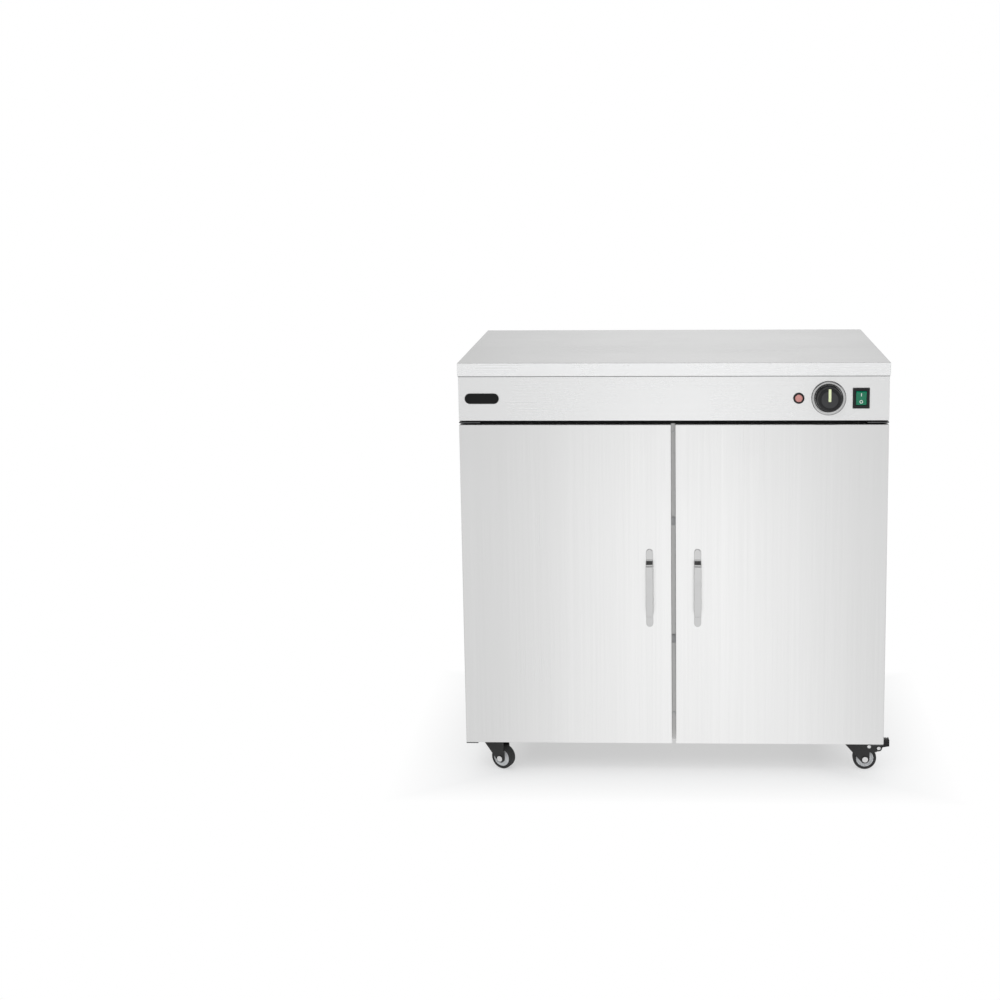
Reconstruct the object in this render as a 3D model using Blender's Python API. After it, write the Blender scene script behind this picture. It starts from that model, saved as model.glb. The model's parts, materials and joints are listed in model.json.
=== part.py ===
"""Two-door heated holding cabinet for plates and food, on four swivel casters.

Metres, +Z up, the front faces -Y. The origin is on the floor, under the middle of the worktop.
The doors are closed at rest. Each named object is one separate piece of the cabinet.
"""

import math

import bmesh
import bpy
from mathutils import Matrix, Vector

# Overall sizes
WIDTH = 0.850
DEPTH = 0.486
HEIGHT = 0.855
CASTER_HEIGHT = 0.072

# Sheet metal and fits
SHEET = 0.0012
LINER_SHEET = 0.0008
GAP = 0.0003
FOLD_RADIUS = 0.0014
FOLD_SEGMENTS = 2

# Worktop and fascia
LIP = 0.026
FASCIA_HEIGHT = 0.0895
TOP_SLIT = 0.0080

# Doors
DOOR_THICK = 0.020
DOOR_TO_FRAME = 0.0030
CENTRE_SLIT = 0.0080
PIVOT_FROM_EDGE = 0.0065
PIVOT_FROM_BACK = 0.0065
PIN_RADIUS = 0.0030
PIN_LENGTH = 0.0100
BRACKET_THICK = 0.0022
BRACKET_WIDTH = 0.042
BRACKET_TAIL = 0.030
BRACKET_SETBACK = 0.0020
BRACKET_CLEAR = 0.0010

# Handles
HANDLE_LENGTH = 0.160
HANDLE_WIDTH = 0.014
HANDLE_THICK = 0.0030
HANDLE_PROUD = 0.026
HANDLE_TAB = 0.022
HANDLE_SLANT = 0.005
HANDLE_FROM_SLIT = 0.0440
HANDLE_ABOVE_DOOR_FOOT = 0.2470
HANDLE_BEND = 0.0050

# Frame
STILE_WIDTH = 0.0215
POST_WIDTH = 0.040
POST_RETURN = 0.012
LINTEL_DROP = 0.0280
LINTEL_RISE = 0.0120
LINTEL_FLANGE = 0.015
BASE_DEPTH = 0.055
REAR_FLANGE = 0.015
PLENUM = 0.045
MAGNET_DROPS = {"upper": 0.2010, "lower": 0.4455}
MAGNET_RADIUS = 0.0085

# Shelves
SHELF_PITCH = 0.1510
SHELF_NAMES = ("lower", "middle", "upper")
SHELF_LIP = 0.0115
SHELF_SHEET = 0.0010
SHELF_BEHIND_POST = 0.0010
SHELF_FROM_BACK = 0.010
SHELF_SIDE_PLAY = 0.0015
RACK_THICK = 0.0030
RACK_UPRIGHT = 0.016
RACK_LEDGE = 0.010
RACK_LEDGE_THICK = 0.0020
RACK_SETBACK = 0.030
RACK_END = 0.020

# Controls, measured from the right-hand end of the fascia
LAMP_FROM_SIDE = 0.1772
KNOB_FROM_SIDE = 0.1187
SWITCH_FROM_SIDE = 0.0555
LAMP_RADIUS = 0.0110
LAMP_BARREL = 0.0070
LAMP_DEPTH = 0.028
LAMP_RIM = 0.0022
LAMP_RIM_WIDTH = 0.0034
LAMP_EDGE = 0.0008
LENS_DOME = 0.0022
RING_BEAD = 0.0060
RING_PROUD = 0.0035
RING_SHEET = 0.0010
RING_EDGE = 0.0008
KNOB_RADIUS = 0.0260
RING_PAST_KNOB = 0.0080
RING_RADIUS = KNOB_RADIUS + RING_PAST_KNOB
KNOB_PROUD = 0.0220
KNOB_CAP = 0.0060
KNOB_SKIRT = 0.0035
KNOB_SHOULDER = 0.0060
KNOB_EDGE = 0.0010
KNOB_DRAFT = 0.0012
KNOB_ROUND = 0.0016
SHAFT_RADIUS = 0.0030
SHAFT_PLAY = 0.0003
THERMOSTAT = (0.046, 0.034, 0.044)
SWITCH_FLANGE = (0.0330, 0.0410)
SWITCH_POCKET = (0.0215, 0.0290)
SWITCH_DEPTH = 0.026
SWITCH_PROUD = 0.0020
SWITCH_WALL = 0.0030
ROCKER_PLAY = 0.0005
ROCKER_PIVOT_DEPTH = 0.0060
ROCKER_HALF = 0.0128
ROCKER_TILT = math.radians(7.0)
ROCKER_PROUD = 0.0008
ROCKER_VALLEY = 0.0016

# Badge, measured from the left-hand end of the fascia
BADGE_FROM_SIDE = 0.0465
BADGE_SIZE = (0.068, 0.0212)
BADGE_THICK = 0.0016

# Heating element in the plenum
ELEMENT_RADIUS = 0.0043
ELEMENT_SPAN = 0.560
ELEMENT_RISE = 0.050
ELEMENT_ABOVE_FLOOR = 0.050
ELEMENT_BRACKET_INSET = 0.040
ELEMENT_BRACKET_DEPTH = 0.032
ELEMENT_BRACKET_MARGIN = 0.020

# Mains entry
GLAND_RADIUS = 0.0110
GLAND_BARREL = 0.0080
GLAND_PROUD = 0.0180
GLAND_INSIDE = 0.0120
GLAND_BORE = 0.0045
GLAND_NUT = 0.0080
GLAND_TAPER = 0.0032
GLAND_FROM_SIDE = 0.070
GLAND_ABOVE_FOOT = 0.075

# Casters
CASTER_INSET = 0.0520
CASTER_PLATE = 0.054
CASTER_PLATE_THICK = 0.0025
KINGPIN_RADIUS = 0.0050
KINGPIN_HEAD = 0.0085
KINGPIN_HEAD_THICK = 0.0020
KINGPIN_PLAY = 0.0006
WHEEL_RADIUS = 0.0240
WHEEL_WIDTH = 0.0180
WHEEL_SIDE_PLAY = 0.0009
WHEEL_BOSS = 0.0085
WHEEL_DISH = 0.0030
TYRE_HEIGHT = 0.0065
TYRE_SHOULDER = 0.0020
TYRE_CROWN = 0.0003
TRAIL = 0.0200
AXLE_RADIUS = 0.0030
AXLE_PLAY = 0.0004
AXLE_HEAD = 0.0060
AXLE_HEAD_THICK = 0.0035
FORK_SHEET = 0.0025
FORK_TOP_RADIUS = 0.0280
FORK_CROWN = 0.0080
FORK_CHEEK_END = 0.0095
FORK_NECK = 0.0255
FORK_CROWN_EDGE = 0.0010
FORK_CROWN_TAPER = 0.0030
BRAKE_PIVOT = (0.0480, 0.0475)
BRAKE_EAR = 0.0070
BRAKE_NECK = 0.0030
BRAKE_PIN_RADIUS = 0.0022
PEDAL_WIDTH = 0.0160
PEDAL_TIP = 0.0700
PEDAL_TREAD = 0.0115
PEDAL_TREAD_TOP = 0.0135
PEDAL_RIDGE = 0.0020
PEDAL_ARM = 0.0045
BRAKE_SWING = 16.0
BRAKE_CLEAR = 0.0004
CASTERS = {
    "front_left": (-1, -1, -25.0, False),
    "front_right": (1, -1, 0.0, True),
    "rear_left": (-1, 1, 180.0, True),
    "rear_right": (1, 1, 150.0, False),
}

# How finely round shapes are cut, and how far a cutter runs past what it cuts
ARC_STEPS = 24
PIN_STEPS = 18
PAST = 0.010

# Derived planes and places
BODY_HALF = WIDTH / 2 - SHEET - GAP
FRONT_Y = -DEPTH / 2 + SHEET + GAP
REAR_Y = DEPTH / 2 - SHEET - GAP
BODY_FOOT = CASTER_HEIGHT
UNDER_TOP = HEIGHT - SHEET - GAP
FASCIA_FOOT = HEIGHT - LIP - FASCIA_HEIGHT
DOOR_FOOT = BODY_FOOT
DOOR_HEAD = FASCIA_FOOT - TOP_SLIT
DOOR_BACK = FRONT_Y + DOOR_THICK
STILE_Y = DOOR_BACK + DOOR_TO_FRAME
RAIL_Y = STILE_Y + SHEET + GAP
LINER_Y = RAIL_Y + SHEET + GAP
INNER_HALF = BODY_HALF - STILE_WIDTH
TUCKED_HALF = BODY_HALF - SHEET - GAP
BACK_LINER_Y = REAR_Y - SHEET - PLENUM
FLOOR_TOP = BODY_FOOT + BASE_DEPTH + GAP + LINER_SHEET
LINTEL_FOOT = FASCIA_FOOT - LINTEL_DROP
CEILING = LINTEL_FOOT + SHEET
CONTROL_Z = FASCIA_FOOT + FASCIA_HEIGHT / 2
PIVOT_X = BODY_HALF - PIVOT_FROM_EDGE
PIVOT_Y = DOOR_BACK - PIVOT_FROM_BACK
SHELF_FRONT = STILE_Y + SHEET + POST_RETURN + SHELF_BEHIND_POST
SHELF_BACK = BACK_LINER_Y - SHELF_FROM_BACK
PLATE_TOP = BODY_FOOT - GAP
CROWN_TOP = PLATE_TOP - CASTER_PLATE_THICK - GAP


def clear_scene():
    """Takes every object out of the scene."""
    for obj in list(bpy.data.objects):
        bpy.data.objects.remove(obj, do_unlink=True)


def material(name, colour, roughness, metallic):
    """A plain Principled material."""
    made = bpy.data.materials.new(name)
    made.use_nodes = True
    shader = made.node_tree.nodes["Principled BSDF"]
    shader.inputs["Base Color"].default_value = (*colour, 1.0)
    shader.inputs["Roughness"].default_value = roughness
    shader.inputs["Metallic"].default_value = metallic
    return made


def add_object(name, bm, mat, place=None, parent=None, smooth=False):
    """Makes an object of a bmesh, with its faces pointing out."""
    bmesh.ops.recalc_face_normals(bm, faces=bm.faces)
    mesh = bpy.data.meshes.new(name)
    bm.to_mesh(mesh)
    bm.free()
    if smooth:
        mesh.shade_smooth()
        mesh.set_sharp_from_angle(angle=math.radians(35))
    obj = bpy.data.objects.new(name, mesh)
    if mat:
        mesh.materials.append(mat)
    bpy.context.scene.collection.objects.link(obj)
    obj.parent = parent
    if place is not None:
        obj.matrix_basis = place
    return obj


def add_empty(name, location, turn=0.0, parent=None):
    """An empty that stands on a joint's axis, turned about +Z."""
    empty = bpy.data.objects.new(name, None)
    bpy.context.scene.collection.objects.link(empty)
    empty.empty_display_size = 0.03
    empty.parent = parent
    empty.matrix_basis = Matrix.Translation(location) @ Matrix.Rotation(turn, 4, "Z")
    return empty


def box_mesh(low, high):
    """A box between two corners."""
    bm = bmesh.new()
    size = Vector(high) - Vector(low)
    middle = (Vector(high) + Vector(low)) / 2
    scale = Matrix.Diagonal((*size, 1.0))
    bmesh.ops.create_cube(bm, size=1.0, matrix=Matrix.Translation(middle) @ scale)
    return bm


def pan_mesh(low, high, wall, open_towards):
    """A folded tray: a box, hollow from the side that faces open_towards."""
    bm = box_mesh(low, high)
    way = Vector(open_towards)
    mouth = max(bm.faces, key=lambda face: face.normal.dot(way))
    depth = sum(abs(way[i]) * (high[i] - low[i]) for i in range(3))
    bmesh.ops.inset_region(bm, faces=[mouth], thickness=wall, use_even_offset=True)
    sunk = bmesh.ops.extrude_discrete_faces(bm, faces=[mouth])["faces"][0]
    bmesh.ops.translate(bm, vec=-way * (depth - wall), verts=sunk.verts)
    return bm


def prism_mesh(outline, low, high, along):
    """A flat outline pushed along X, Y or Z, from low to high.

    The outline's points are (y, z) along X, (x, z) along Y and (x, y) along Z.
    """
    spot = {
        "X": lambda a, b: (low, a, b),
        "Y": lambda a, b: (a, low, b),
        "Z": lambda a, b: (a, b, low),
    }[along]
    push = {"X": (1, 0, 0), "Y": (0, 1, 0), "Z": (0, 0, 1)}[along]
    bm = bmesh.new()
    face = bm.faces.new([bm.verts.new(spot(a, b)) for a, b in outline])
    grown = bmesh.ops.extrude_face_region(bm, geom=[face])["geom"]
    verts = [part for part in grown if isinstance(part, bmesh.types.BMVert)]
    bmesh.ops.translate(bm, vec=Vector(push) * (high - low), verts=verts)
    return bm


def turned_mesh(profile, steps=ARC_STEPS, ring=False):
    """A profile of (radius, height) points turned about Z; a ring's profile closes on itself."""
    bm = bmesh.new()
    rows = []
    for radius, height in profile:
        count = steps if radius > 0 else 1
        turns = [2 * math.pi * i / steps for i in range(count)]
        spots = [(radius * math.cos(t), radius * math.sin(t), height) for t in turns]
        rows.append([bm.verts.new(spot) for spot in spots])
    pairs = list(zip(rows, rows[1:]))
    if ring:
        pairs.append((rows[-1], rows[0]))
    for lower, upper in pairs:
        if len(lower) == len(upper) == 1:
            continue
        for i in range(steps):
            j = (i + 1) % steps
            corners = [lower[i % len(lower)], lower[j % len(lower)]]
            corners += [upper[j % len(upper)], upper[i % len(upper)]]
            bm.faces.new(list(dict.fromkeys(corners)))
    return bm


def rod_mesh(radius, low, high, steps=PIN_STEPS):
    """A round bar along Z, from low to high."""
    return turned_mesh([(0, low), (radius, low), (radius, high), (0, high)], steps)


def arc(centre, radius, start, end, steps=8):
    """Points on an arc, with its angles in degrees."""
    angles = [math.radians(start + (end - start) * i / steps) for i in range(steps + 1)]
    return [(centre[0] + radius * math.cos(a), centre[1] + radius * math.sin(a)) for a in angles]


def round_folds(obj, chosen, radius=FOLD_RADIUS, segments=FOLD_SEGMENTS):
    """Bevels the edges that the test picks; it gets the two ends of each edge."""
    mesh = obj.data
    weights = mesh.attributes.new("bevel_weight_edge", "FLOAT", "EDGE")
    for edge in mesh.edges:
        ends = [mesh.vertices[i].co for i in edge.vertices]
        weights.data[edge.index].value = float(chosen(*ends))
    bevel = obj.modifiers.new("folds", "BEVEL")
    bevel.limit_method = "WEIGHT"
    bevel.width = radius
    bevel.segments = segments
    bevel.use_clamp_overlap = False
    return bevel


def combine(obj, bm, operation, place=None):
    """Unites an object with a helper shape, or cuts or keeps what the helper covers."""
    helper = add_object(f"{obj.name}_{operation.lower()}", bm, None, place, obj.parent)
    helper.hide_render = True
    helper.display_type = "WIRE"
    boolean = obj.modifiers.new(operation.lower(), "BOOLEAN")
    boolean.operation = operation
    boolean.solver = "EXACT"
    boolean.object = helper
    return obj


def outer_folds(low, high, mouth):
    """A test for the outer edges of a tray, leaving out the rim around its mouth."""
    corners = [set(round(v, 6) for v in pair) for pair in zip(low, high)]
    axis = [abs(v) for v in mouth].index(1)
    rim = high[axis] if mouth[axis] > 0 else low[axis]

    def is_fold(a, b):
        outside = all(round(p[i], 6) in corners[i] for p in (a, b) for i in range(3))
        return outside and not (abs(a[axis] - rim) < 1e-6 and abs(b[axis] - rim) < 1e-6)

    return is_fold


def add_pan(name, low, high, mouth, mat, wall=SHEET, parent=None):
    """A folded sheet tray with rounded outer folds."""
    place = parent.matrix_world.translation if parent else Vector()
    low = Vector(low) - place
    high = Vector(high) - place
    obj = add_object(name, pan_mesh(low, high, wall, mouth), mat, parent=parent)
    round_folds(obj, outer_folds(low, high, mouth))
    return obj


STEEL = material("brushed_steel", (0.78, 0.78, 0.77), 0.32, 1.0)
STEEL_INSIDE = material("liner_steel", (0.62, 0.62, 0.61), 0.38, 1.0)
BRIGHT = material("polished_steel", (0.85, 0.85, 0.85), 0.15, 1.0)
ZINC = material("zinc_plated", (0.70, 0.71, 0.72), 0.35, 1.0)
BLACK = material("black_plastic", (0.02, 0.02, 0.022), 0.45, 0.0)
BLACK_PAINT = material("black_paint", (0.03, 0.03, 0.03), 0.50, 0.0)
RUBBER = material("black_rubber", (0.025, 0.025, 0.025), 0.75, 0.0)
GREEN = material("green_lens", (0.0, 0.42, 0.20), 0.25, 0.0)
RED = material("red_lens", (0.75, 0.35, 0.30), 0.20, 0.0)
ELEMENT = material("element_sheath", (0.20, 0.19, 0.18), 0.50, 1.0)


def add_worktop():
    """The worktop, a tray turned upside down over the body."""
    low = (-WIDTH / 2, -DEPTH / 2, HEIGHT - LIP)
    high = (WIDTH / 2, DEPTH / 2, HEIGHT)
    add_pan("worktop", low, high, (0, 0, -1), STEEL)


def add_side_panel(side, sign):
    """A side sheet with its front edge folded in to make the stile."""
    outer = sign * BODY_HALF
    inner = sign * (BODY_HALF - SHEET)
    stile = sign * INNER_HALF
    outline = [
        (outer, STILE_Y),
        (outer, REAR_Y),
        (inner, REAR_Y),
        (inner, STILE_Y + SHEET),
        (stile, STILE_Y + SHEET),
        (stile, STILE_Y),
    ]
    obj = add_object(f"{side}_side_panel", prism_mesh(outline, BODY_FOOT, UNDER_TOP, "Z"), STEEL)

    def is_front_fold(a, b):
        return all(abs(p.x - outer) < 1e-6 and abs(p.y - STILE_Y) < 1e-6 for p in (a, b))

    round_folds(obj, is_front_fold)


def add_rear_panel():
    """The back of the body, with the hole of the mains entry."""
    low = (-TUCKED_HALF, REAR_Y - REAR_FLANGE, BODY_FOOT)
    high = (TUCKED_HALF, REAR_Y, UNDER_TOP)
    obj = add_object("rear_panel", pan_mesh(low, high, SHEET, (0, -1, 0)), STEEL)
    combine(obj, rod_mesh(GLAND_BARREL + GAP, -PAST, PAST), "DIFFERENCE", gland_place())


def add_base_pan():
    """The bottom tray, whose front wall is the rail under the doors' opening."""
    low = (-TUCKED_HALF, RAIL_Y, BODY_FOOT)
    high = (TUCKED_HALF, REAR_Y - REAR_FLANGE - GAP, BODY_FOOT + BASE_DEPTH)
    add_object("base_pan", pan_mesh(low, high, SHEET, (0, 0, 1)), STEEL)


def add_lintel():
    """The rail over the doors' opening, with a flange on top that stiffens it."""
    head = FASCIA_FOOT + LINTEL_RISE
    outline = [
        (RAIL_Y, LINTEL_FOOT),
        (RAIL_Y + SHEET, LINTEL_FOOT),
        (RAIL_Y + SHEET, head - SHEET),
        (RAIL_Y + LINTEL_FLANGE, head - SHEET),
        (RAIL_Y + LINTEL_FLANGE, head),
        (RAIL_Y, head),
    ]
    add_object("lintel", prism_mesh(outline, -TUCKED_HALF, TUCKED_HALF, "X"), STEEL)


def add_centre_post():
    """The strip that the doors close against, stiffened by two returns between the rails."""
    low = (-POST_WIDTH / 2, STILE_Y, BODY_FOOT)
    high = (POST_WIDTH / 2, STILE_Y + SHEET, FASCIA_FOOT + LINTEL_RISE)
    obj = add_object("centre_post", box_mesh(low, high), STEEL)
    low = (-POST_WIDTH / 2 + GAP, STILE_Y + SHEET / 2, FLOOR_TOP + GAP)
    high = (POST_WIDTH / 2 - GAP, STILE_Y + SHEET + POST_RETURN, LINTEL_FOOT - GAP)
    outline = [
        (low[0], low[1]),
        (high[0], low[1]),
        (high[0], high[1]),
        (high[0] - SHEET, high[1]),
        (high[0] - SHEET, STILE_Y + SHEET - GAP),
        (low[0] + SHEET, STILE_Y + SHEET - GAP),
        (low[0] + SHEET, high[1]),
        (low[0], high[1]),
    ]
    combine(obj, prism_mesh(outline, low[2], high[2], "Z"), "UNION")
    for name, drop in MAGNET_DROPS.items():
        disc = rod_mesh(MAGNET_RADIUS, 0, DOOR_TO_FRAME - 2 * GAP, ARC_STEPS)
        place = facing_front(0, STILE_Y - GAP, DOOR_HEAD - drop)
        add_object(f"{name}_magnet", disc, BLACK, place, smooth=True)


def facing_front(x, y, z):
    """A place whose +Z axis points out of the front of the cabinet."""
    return Matrix.Translation((x, y, z)) @ Matrix.Rotation(math.radians(90), 4, "X")


def facing_rear(x, y, z):
    """A place whose +Z axis points out of the back of the cabinet."""
    return Matrix.Translation((x, y, z)) @ Matrix.Rotation(math.radians(-90), 4, "X")


def add_liner():
    """The five sheets of the heated compartment."""
    front = LINER_Y
    back = BACK_LINER_Y
    for side, sign in (("left", -1), ("right", 1)):
        near, far = sorted((sign * INNER_HALF, sign * (INNER_HALF + LINER_SHEET)))
        low = (near, front, FLOOR_TOP + GAP)
        high = (far, back - GAP, CEILING - GAP)
        add_object(f"liner_{side}", box_mesh(low, high), STEEL_INSIDE)
    low = (-TUCKED_HALF, back, FLOOR_TOP + GAP)
    high = (TUCKED_HALF, back + LINER_SHEET, CEILING - GAP)
    add_object("liner_back", box_mesh(low, high), STEEL_INSIDE)
    low = (-TUCKED_HALF, RAIL_Y, FLOOR_TOP - LINER_SHEET)
    high = (TUCKED_HALF, back + LINER_SHEET, FLOOR_TOP)
    add_object("liner_floor", box_mesh(low, high), STEEL_INSIDE)
    low = (-TUCKED_HALF, front, CEILING)
    high = (TUCKED_HALF, back + LINER_SHEET, CEILING + LINER_SHEET)
    add_object("liner_ceiling", box_mesh(low, high), STEEL_INSIDE)


def shelf_tops():
    """The height of each shelf's upper face, from the lowest up."""
    return {name: FLOOR_TOP + SHELF_PITCH * (i + 1) for i, name in enumerate(SHELF_NAMES)}


def add_shelves():
    """Three loose shelves, folded down at the front and at the back."""
    half = INNER_HALF - GAP - RACK_THICK - SHELF_SIDE_PLAY
    for name, top in shelf_tops().items():
        outline = [
            (SHELF_FRONT, top),
            (SHELF_FRONT, top - SHELF_LIP),
            (SHELF_FRONT + SHELF_SHEET, top - SHELF_LIP),
            (SHELF_FRONT + SHELF_SHEET, top - SHELF_SHEET),
            (SHELF_BACK - SHELF_SHEET, top - SHELF_SHEET),
            (SHELF_BACK - SHELF_SHEET, top - SHELF_LIP),
            (SHELF_BACK, top - SHELF_LIP),
            (SHELF_BACK, top),
        ]
        add_object(f"shelf_{name}", prism_mesh(outline, -half, half, "X"), STEEL_INSIDE)


def add_shelf_rack(side, sign):
    """Two uprights on a side wall, tied by the ledges that carry the shelves."""
    wall = sign * (INNER_HALF - GAP)
    face = wall - sign * RACK_THICK
    tip = wall - sign * (RACK_THICK + RACK_LEDGE)
    first = SHELF_FRONT + RACK_SETBACK
    last = SHELF_BACK - RACK_SETBACK
    foot = FLOOR_TOP + GAP
    head = CEILING - RACK_END

    def block(x_pair, y_pair, z_pair):
        pairs = [sorted(pair) for pair in (x_pair, y_pair, z_pair)]
        return box_mesh([pair[0] for pair in pairs], [pair[1] for pair in pairs])

    front_bar = block((wall, face), (first, first + RACK_UPRIGHT), (foot, head))
    obj = add_object(f"{side}_shelf_rack", front_bar, STEEL_INSIDE)
    combine(obj, block((wall, face), (last - RACK_UPRIGHT, last), (foot, head)), "UNION")
    for top in shelf_tops().values():
        level = top - SHELF_SHEET - GAP
        ledge = block((wall, tip), (first, last), (level - RACK_LEDGE_THICK, level))
        combine(obj, ledge, "UNION")


def add_fascia():
    """The control fascia, cut for the lamp, the thermostat's shaft and the switch."""
    low = (-BODY_HALF, FRONT_Y, FASCIA_FOOT)
    high = (BODY_HALF, STILE_Y - GAP, UNDER_TOP)
    obj = add_pan("control_fascia", low, high, (0, 1, 0), STEEL)
    holes = ((LAMP_FROM_SIDE, LAMP_BARREL + GAP), (KNOB_FROM_SIDE, SHAFT_RADIUS + SHAFT_PLAY))
    for from_side, radius in holes:
        place = facing_front(BODY_HALF - from_side, FRONT_Y, CONTROL_Z)
        combine(obj, rod_mesh(radius, -PAST, PAST), "DIFFERENCE", place)
    half_x = SWITCH_POCKET[0] / 2 + SWITCH_WALL + GAP
    half_z = SWITCH_POCKET[1] / 2 + SWITCH_WALL + GAP
    x = BODY_HALF - SWITCH_FROM_SIDE
    low = (x - half_x, FRONT_Y - PAST, CONTROL_Z - half_z)
    high = (x + half_x, FRONT_Y + PAST, CONTROL_Z + half_z)
    combine(obj, box_mesh(low, high), "DIFFERENCE")


def add_lamp():
    """The pilot lamp: a bezel with its barrel, and the domed lens in it."""
    x = BODY_HALF - LAMP_FROM_SIDE
    face = GAP
    rim = face + LAMP_RIM
    seat = face + LAMP_EDGE
    lens = LAMP_RADIUS - LAMP_RIM_WIDTH
    profile = [
        (0, -LAMP_DEPTH),
        (LAMP_BARREL, -LAMP_DEPTH),
        (LAMP_BARREL, face),
        (LAMP_RADIUS, face),
        (LAMP_RADIUS, rim - LAMP_EDGE),
        (LAMP_RADIUS - LAMP_EDGE, rim),
        (lens, rim),
        (lens, seat),
        (0, seat),
    ]
    place = facing_front(x, FRONT_Y, CONTROL_Z)
    add_object("pilot_lamp_body", turned_mesh(profile), BLACK, place, smooth=True)
    radius = lens - GAP
    dome = [(radius * across, rim + LENS_DOME * up) for across, up in arc((0, 0), 1, 0, 72, 3)]
    profile = [(0, seat + GAP), (radius, seat + GAP), *dome, (0, rim + LENS_DOME)]
    add_object("pilot_lens", turned_mesh(profile), RED, place, smooth=True)


def add_thermostat():
    """The thermostat: its dial ring, body, turning shaft and knob."""
    x = BODY_HALF - KNOB_FROM_SIDE
    place = facing_front(x, FRONT_Y, CONTROL_Z)
    bore = SHAFT_RADIUS + SHAFT_PLAY
    inner = RING_RADIUS - RING_BEAD
    base = GAP + RING_SHEET
    crown = GAP + RING_PROUD
    ring = [
        (bore, GAP),
        (RING_RADIUS, GAP),
        (RING_RADIUS, base),
        (RING_RADIUS - RING_EDGE, crown - RING_EDGE),
        (RING_RADIUS - RING_BEAD / 2, crown),
        (inner, base),
        (bore, base),
    ]
    add_object("dial_ring", turned_mesh(ring, 36, ring=True), BRIGHT, place, smooth=True)

    width, deep, tall = THERMOSTAT
    back = FRONT_Y + SHEET + GAP
    low = (x - width / 2, back, CONTROL_Z - tall / 2)
    high = (x + width / 2, back + deep, CONTROL_Z + tall / 2)
    body = add_object("thermostat_body", box_mesh(low, high), ZINC)
    depth = SHEET + GAP + deep / 2
    combine(body, rod_mesh(bore, -depth, PAST), "DIFFERENCE", place)

    axis = add_empty("thermostat_axis", (x, FRONT_Y, CONTROL_Z))
    turned = Matrix.Rotation(math.radians(90), 4, "X")
    tip = KNOB_PROUD - KNOB_CAP
    shaft = rod_mesh(SHAFT_RADIUS, -depth + GAP, tip)
    add_object("thermostat_shaft", shaft, ZINC, turned, axis, True)
    back = base + GAP * 2
    grip = KNOB_RADIUS - KNOB_SKIRT
    knob = [
        (bore, back),
        (KNOB_RADIUS - KNOB_EDGE, back),
        (KNOB_RADIUS, back + KNOB_EDGE),
        (KNOB_RADIUS, back + KNOB_SKIRT),
        (grip, back + KNOB_SHOULDER),
        (grip - KNOB_DRAFT, KNOB_PROUD - KNOB_ROUND),
        (grip - KNOB_DRAFT - KNOB_ROUND, KNOB_PROUD),
        (0, KNOB_PROUD),
        (0, tip + GAP),
        (bore, tip + GAP),
    ]
    add_object("thermostat_knob", turned_mesh(knob, 32, ring=True), BLACK, turned, axis, True)


def add_switch():
    """The rocker switch: a housing snapped into the fascia, and its button."""
    x = BODY_HALF - SWITCH_FROM_SIDE
    half_x = SWITCH_FLANGE[0] / 2
    half_z = SWITCH_FLANGE[1] / 2
    front = FRONT_Y - GAP - SWITCH_PROUD
    low = (x - half_x, front, CONTROL_Z - half_z)
    high = (x + half_x, FRONT_Y - GAP, CONTROL_Z + half_z)
    obj = add_object("switch_housing", box_mesh(low, high), BLACK)
    body_x = SWITCH_POCKET[0] / 2 + SWITCH_WALL
    body_z = SWITCH_POCKET[1] / 2 + SWITCH_WALL
    low = (x - body_x, front + SWITCH_PROUD / 2, CONTROL_Z - body_z)
    high = (x + body_x, FRONT_Y + SWITCH_DEPTH, CONTROL_Z + body_z)
    combine(obj, box_mesh(low, high), "UNION")
    half_x, half_z = (size / 2 for size in SWITCH_POCKET)
    low = (x - half_x, front - PAST, CONTROL_Z - half_z)
    high = (x + half_x, FRONT_Y + SWITCH_DEPTH - SWITCH_WALL, CONTROL_Z + half_z)
    combine(obj, box_mesh(low, high), "DIFFERENCE")

    axis = add_empty("switch_axis", (x, front + ROCKER_PIVOT_DEPTH, CONTROL_Z))
    proud = ROCKER_PIVOT_DEPTH + ROCKER_PROUD
    reach = math.hypot(ROCKER_HALF, proud)
    start = math.degrees(math.asin(proud / reach))
    belly = arc((0, 0), reach, -start, 180 + start, 14)
    outline = [(-proud + ROCKER_VALLEY, 0)] + [(inward, up) for up, inward in belly]
    half = half_x - ROCKER_PLAY
    tilt = Matrix.Rotation(ROCKER_TILT, 4, "X")
    add_object("rocker_button", prism_mesh(outline, -half, half, "X"), GREEN, tilt, axis)


def add_badge():
    """A plain pill-shaped plate."""
    width, tall = BADGE_SIZE
    x = -BODY_HALF + BADGE_FROM_SIDE
    radius = tall / 2
    reach = width / 2 - radius
    outline = arc((x + reach, CONTROL_Z), radius, -90, 90, 10)
    outline += arc((x - reach, CONTROL_Z), radius, 90, 270, 10)
    add_object("badge", prism_mesh(outline, FRONT_Y - GAP - BADGE_THICK, FRONT_Y - GAP, "Y"), BLACK)


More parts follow.
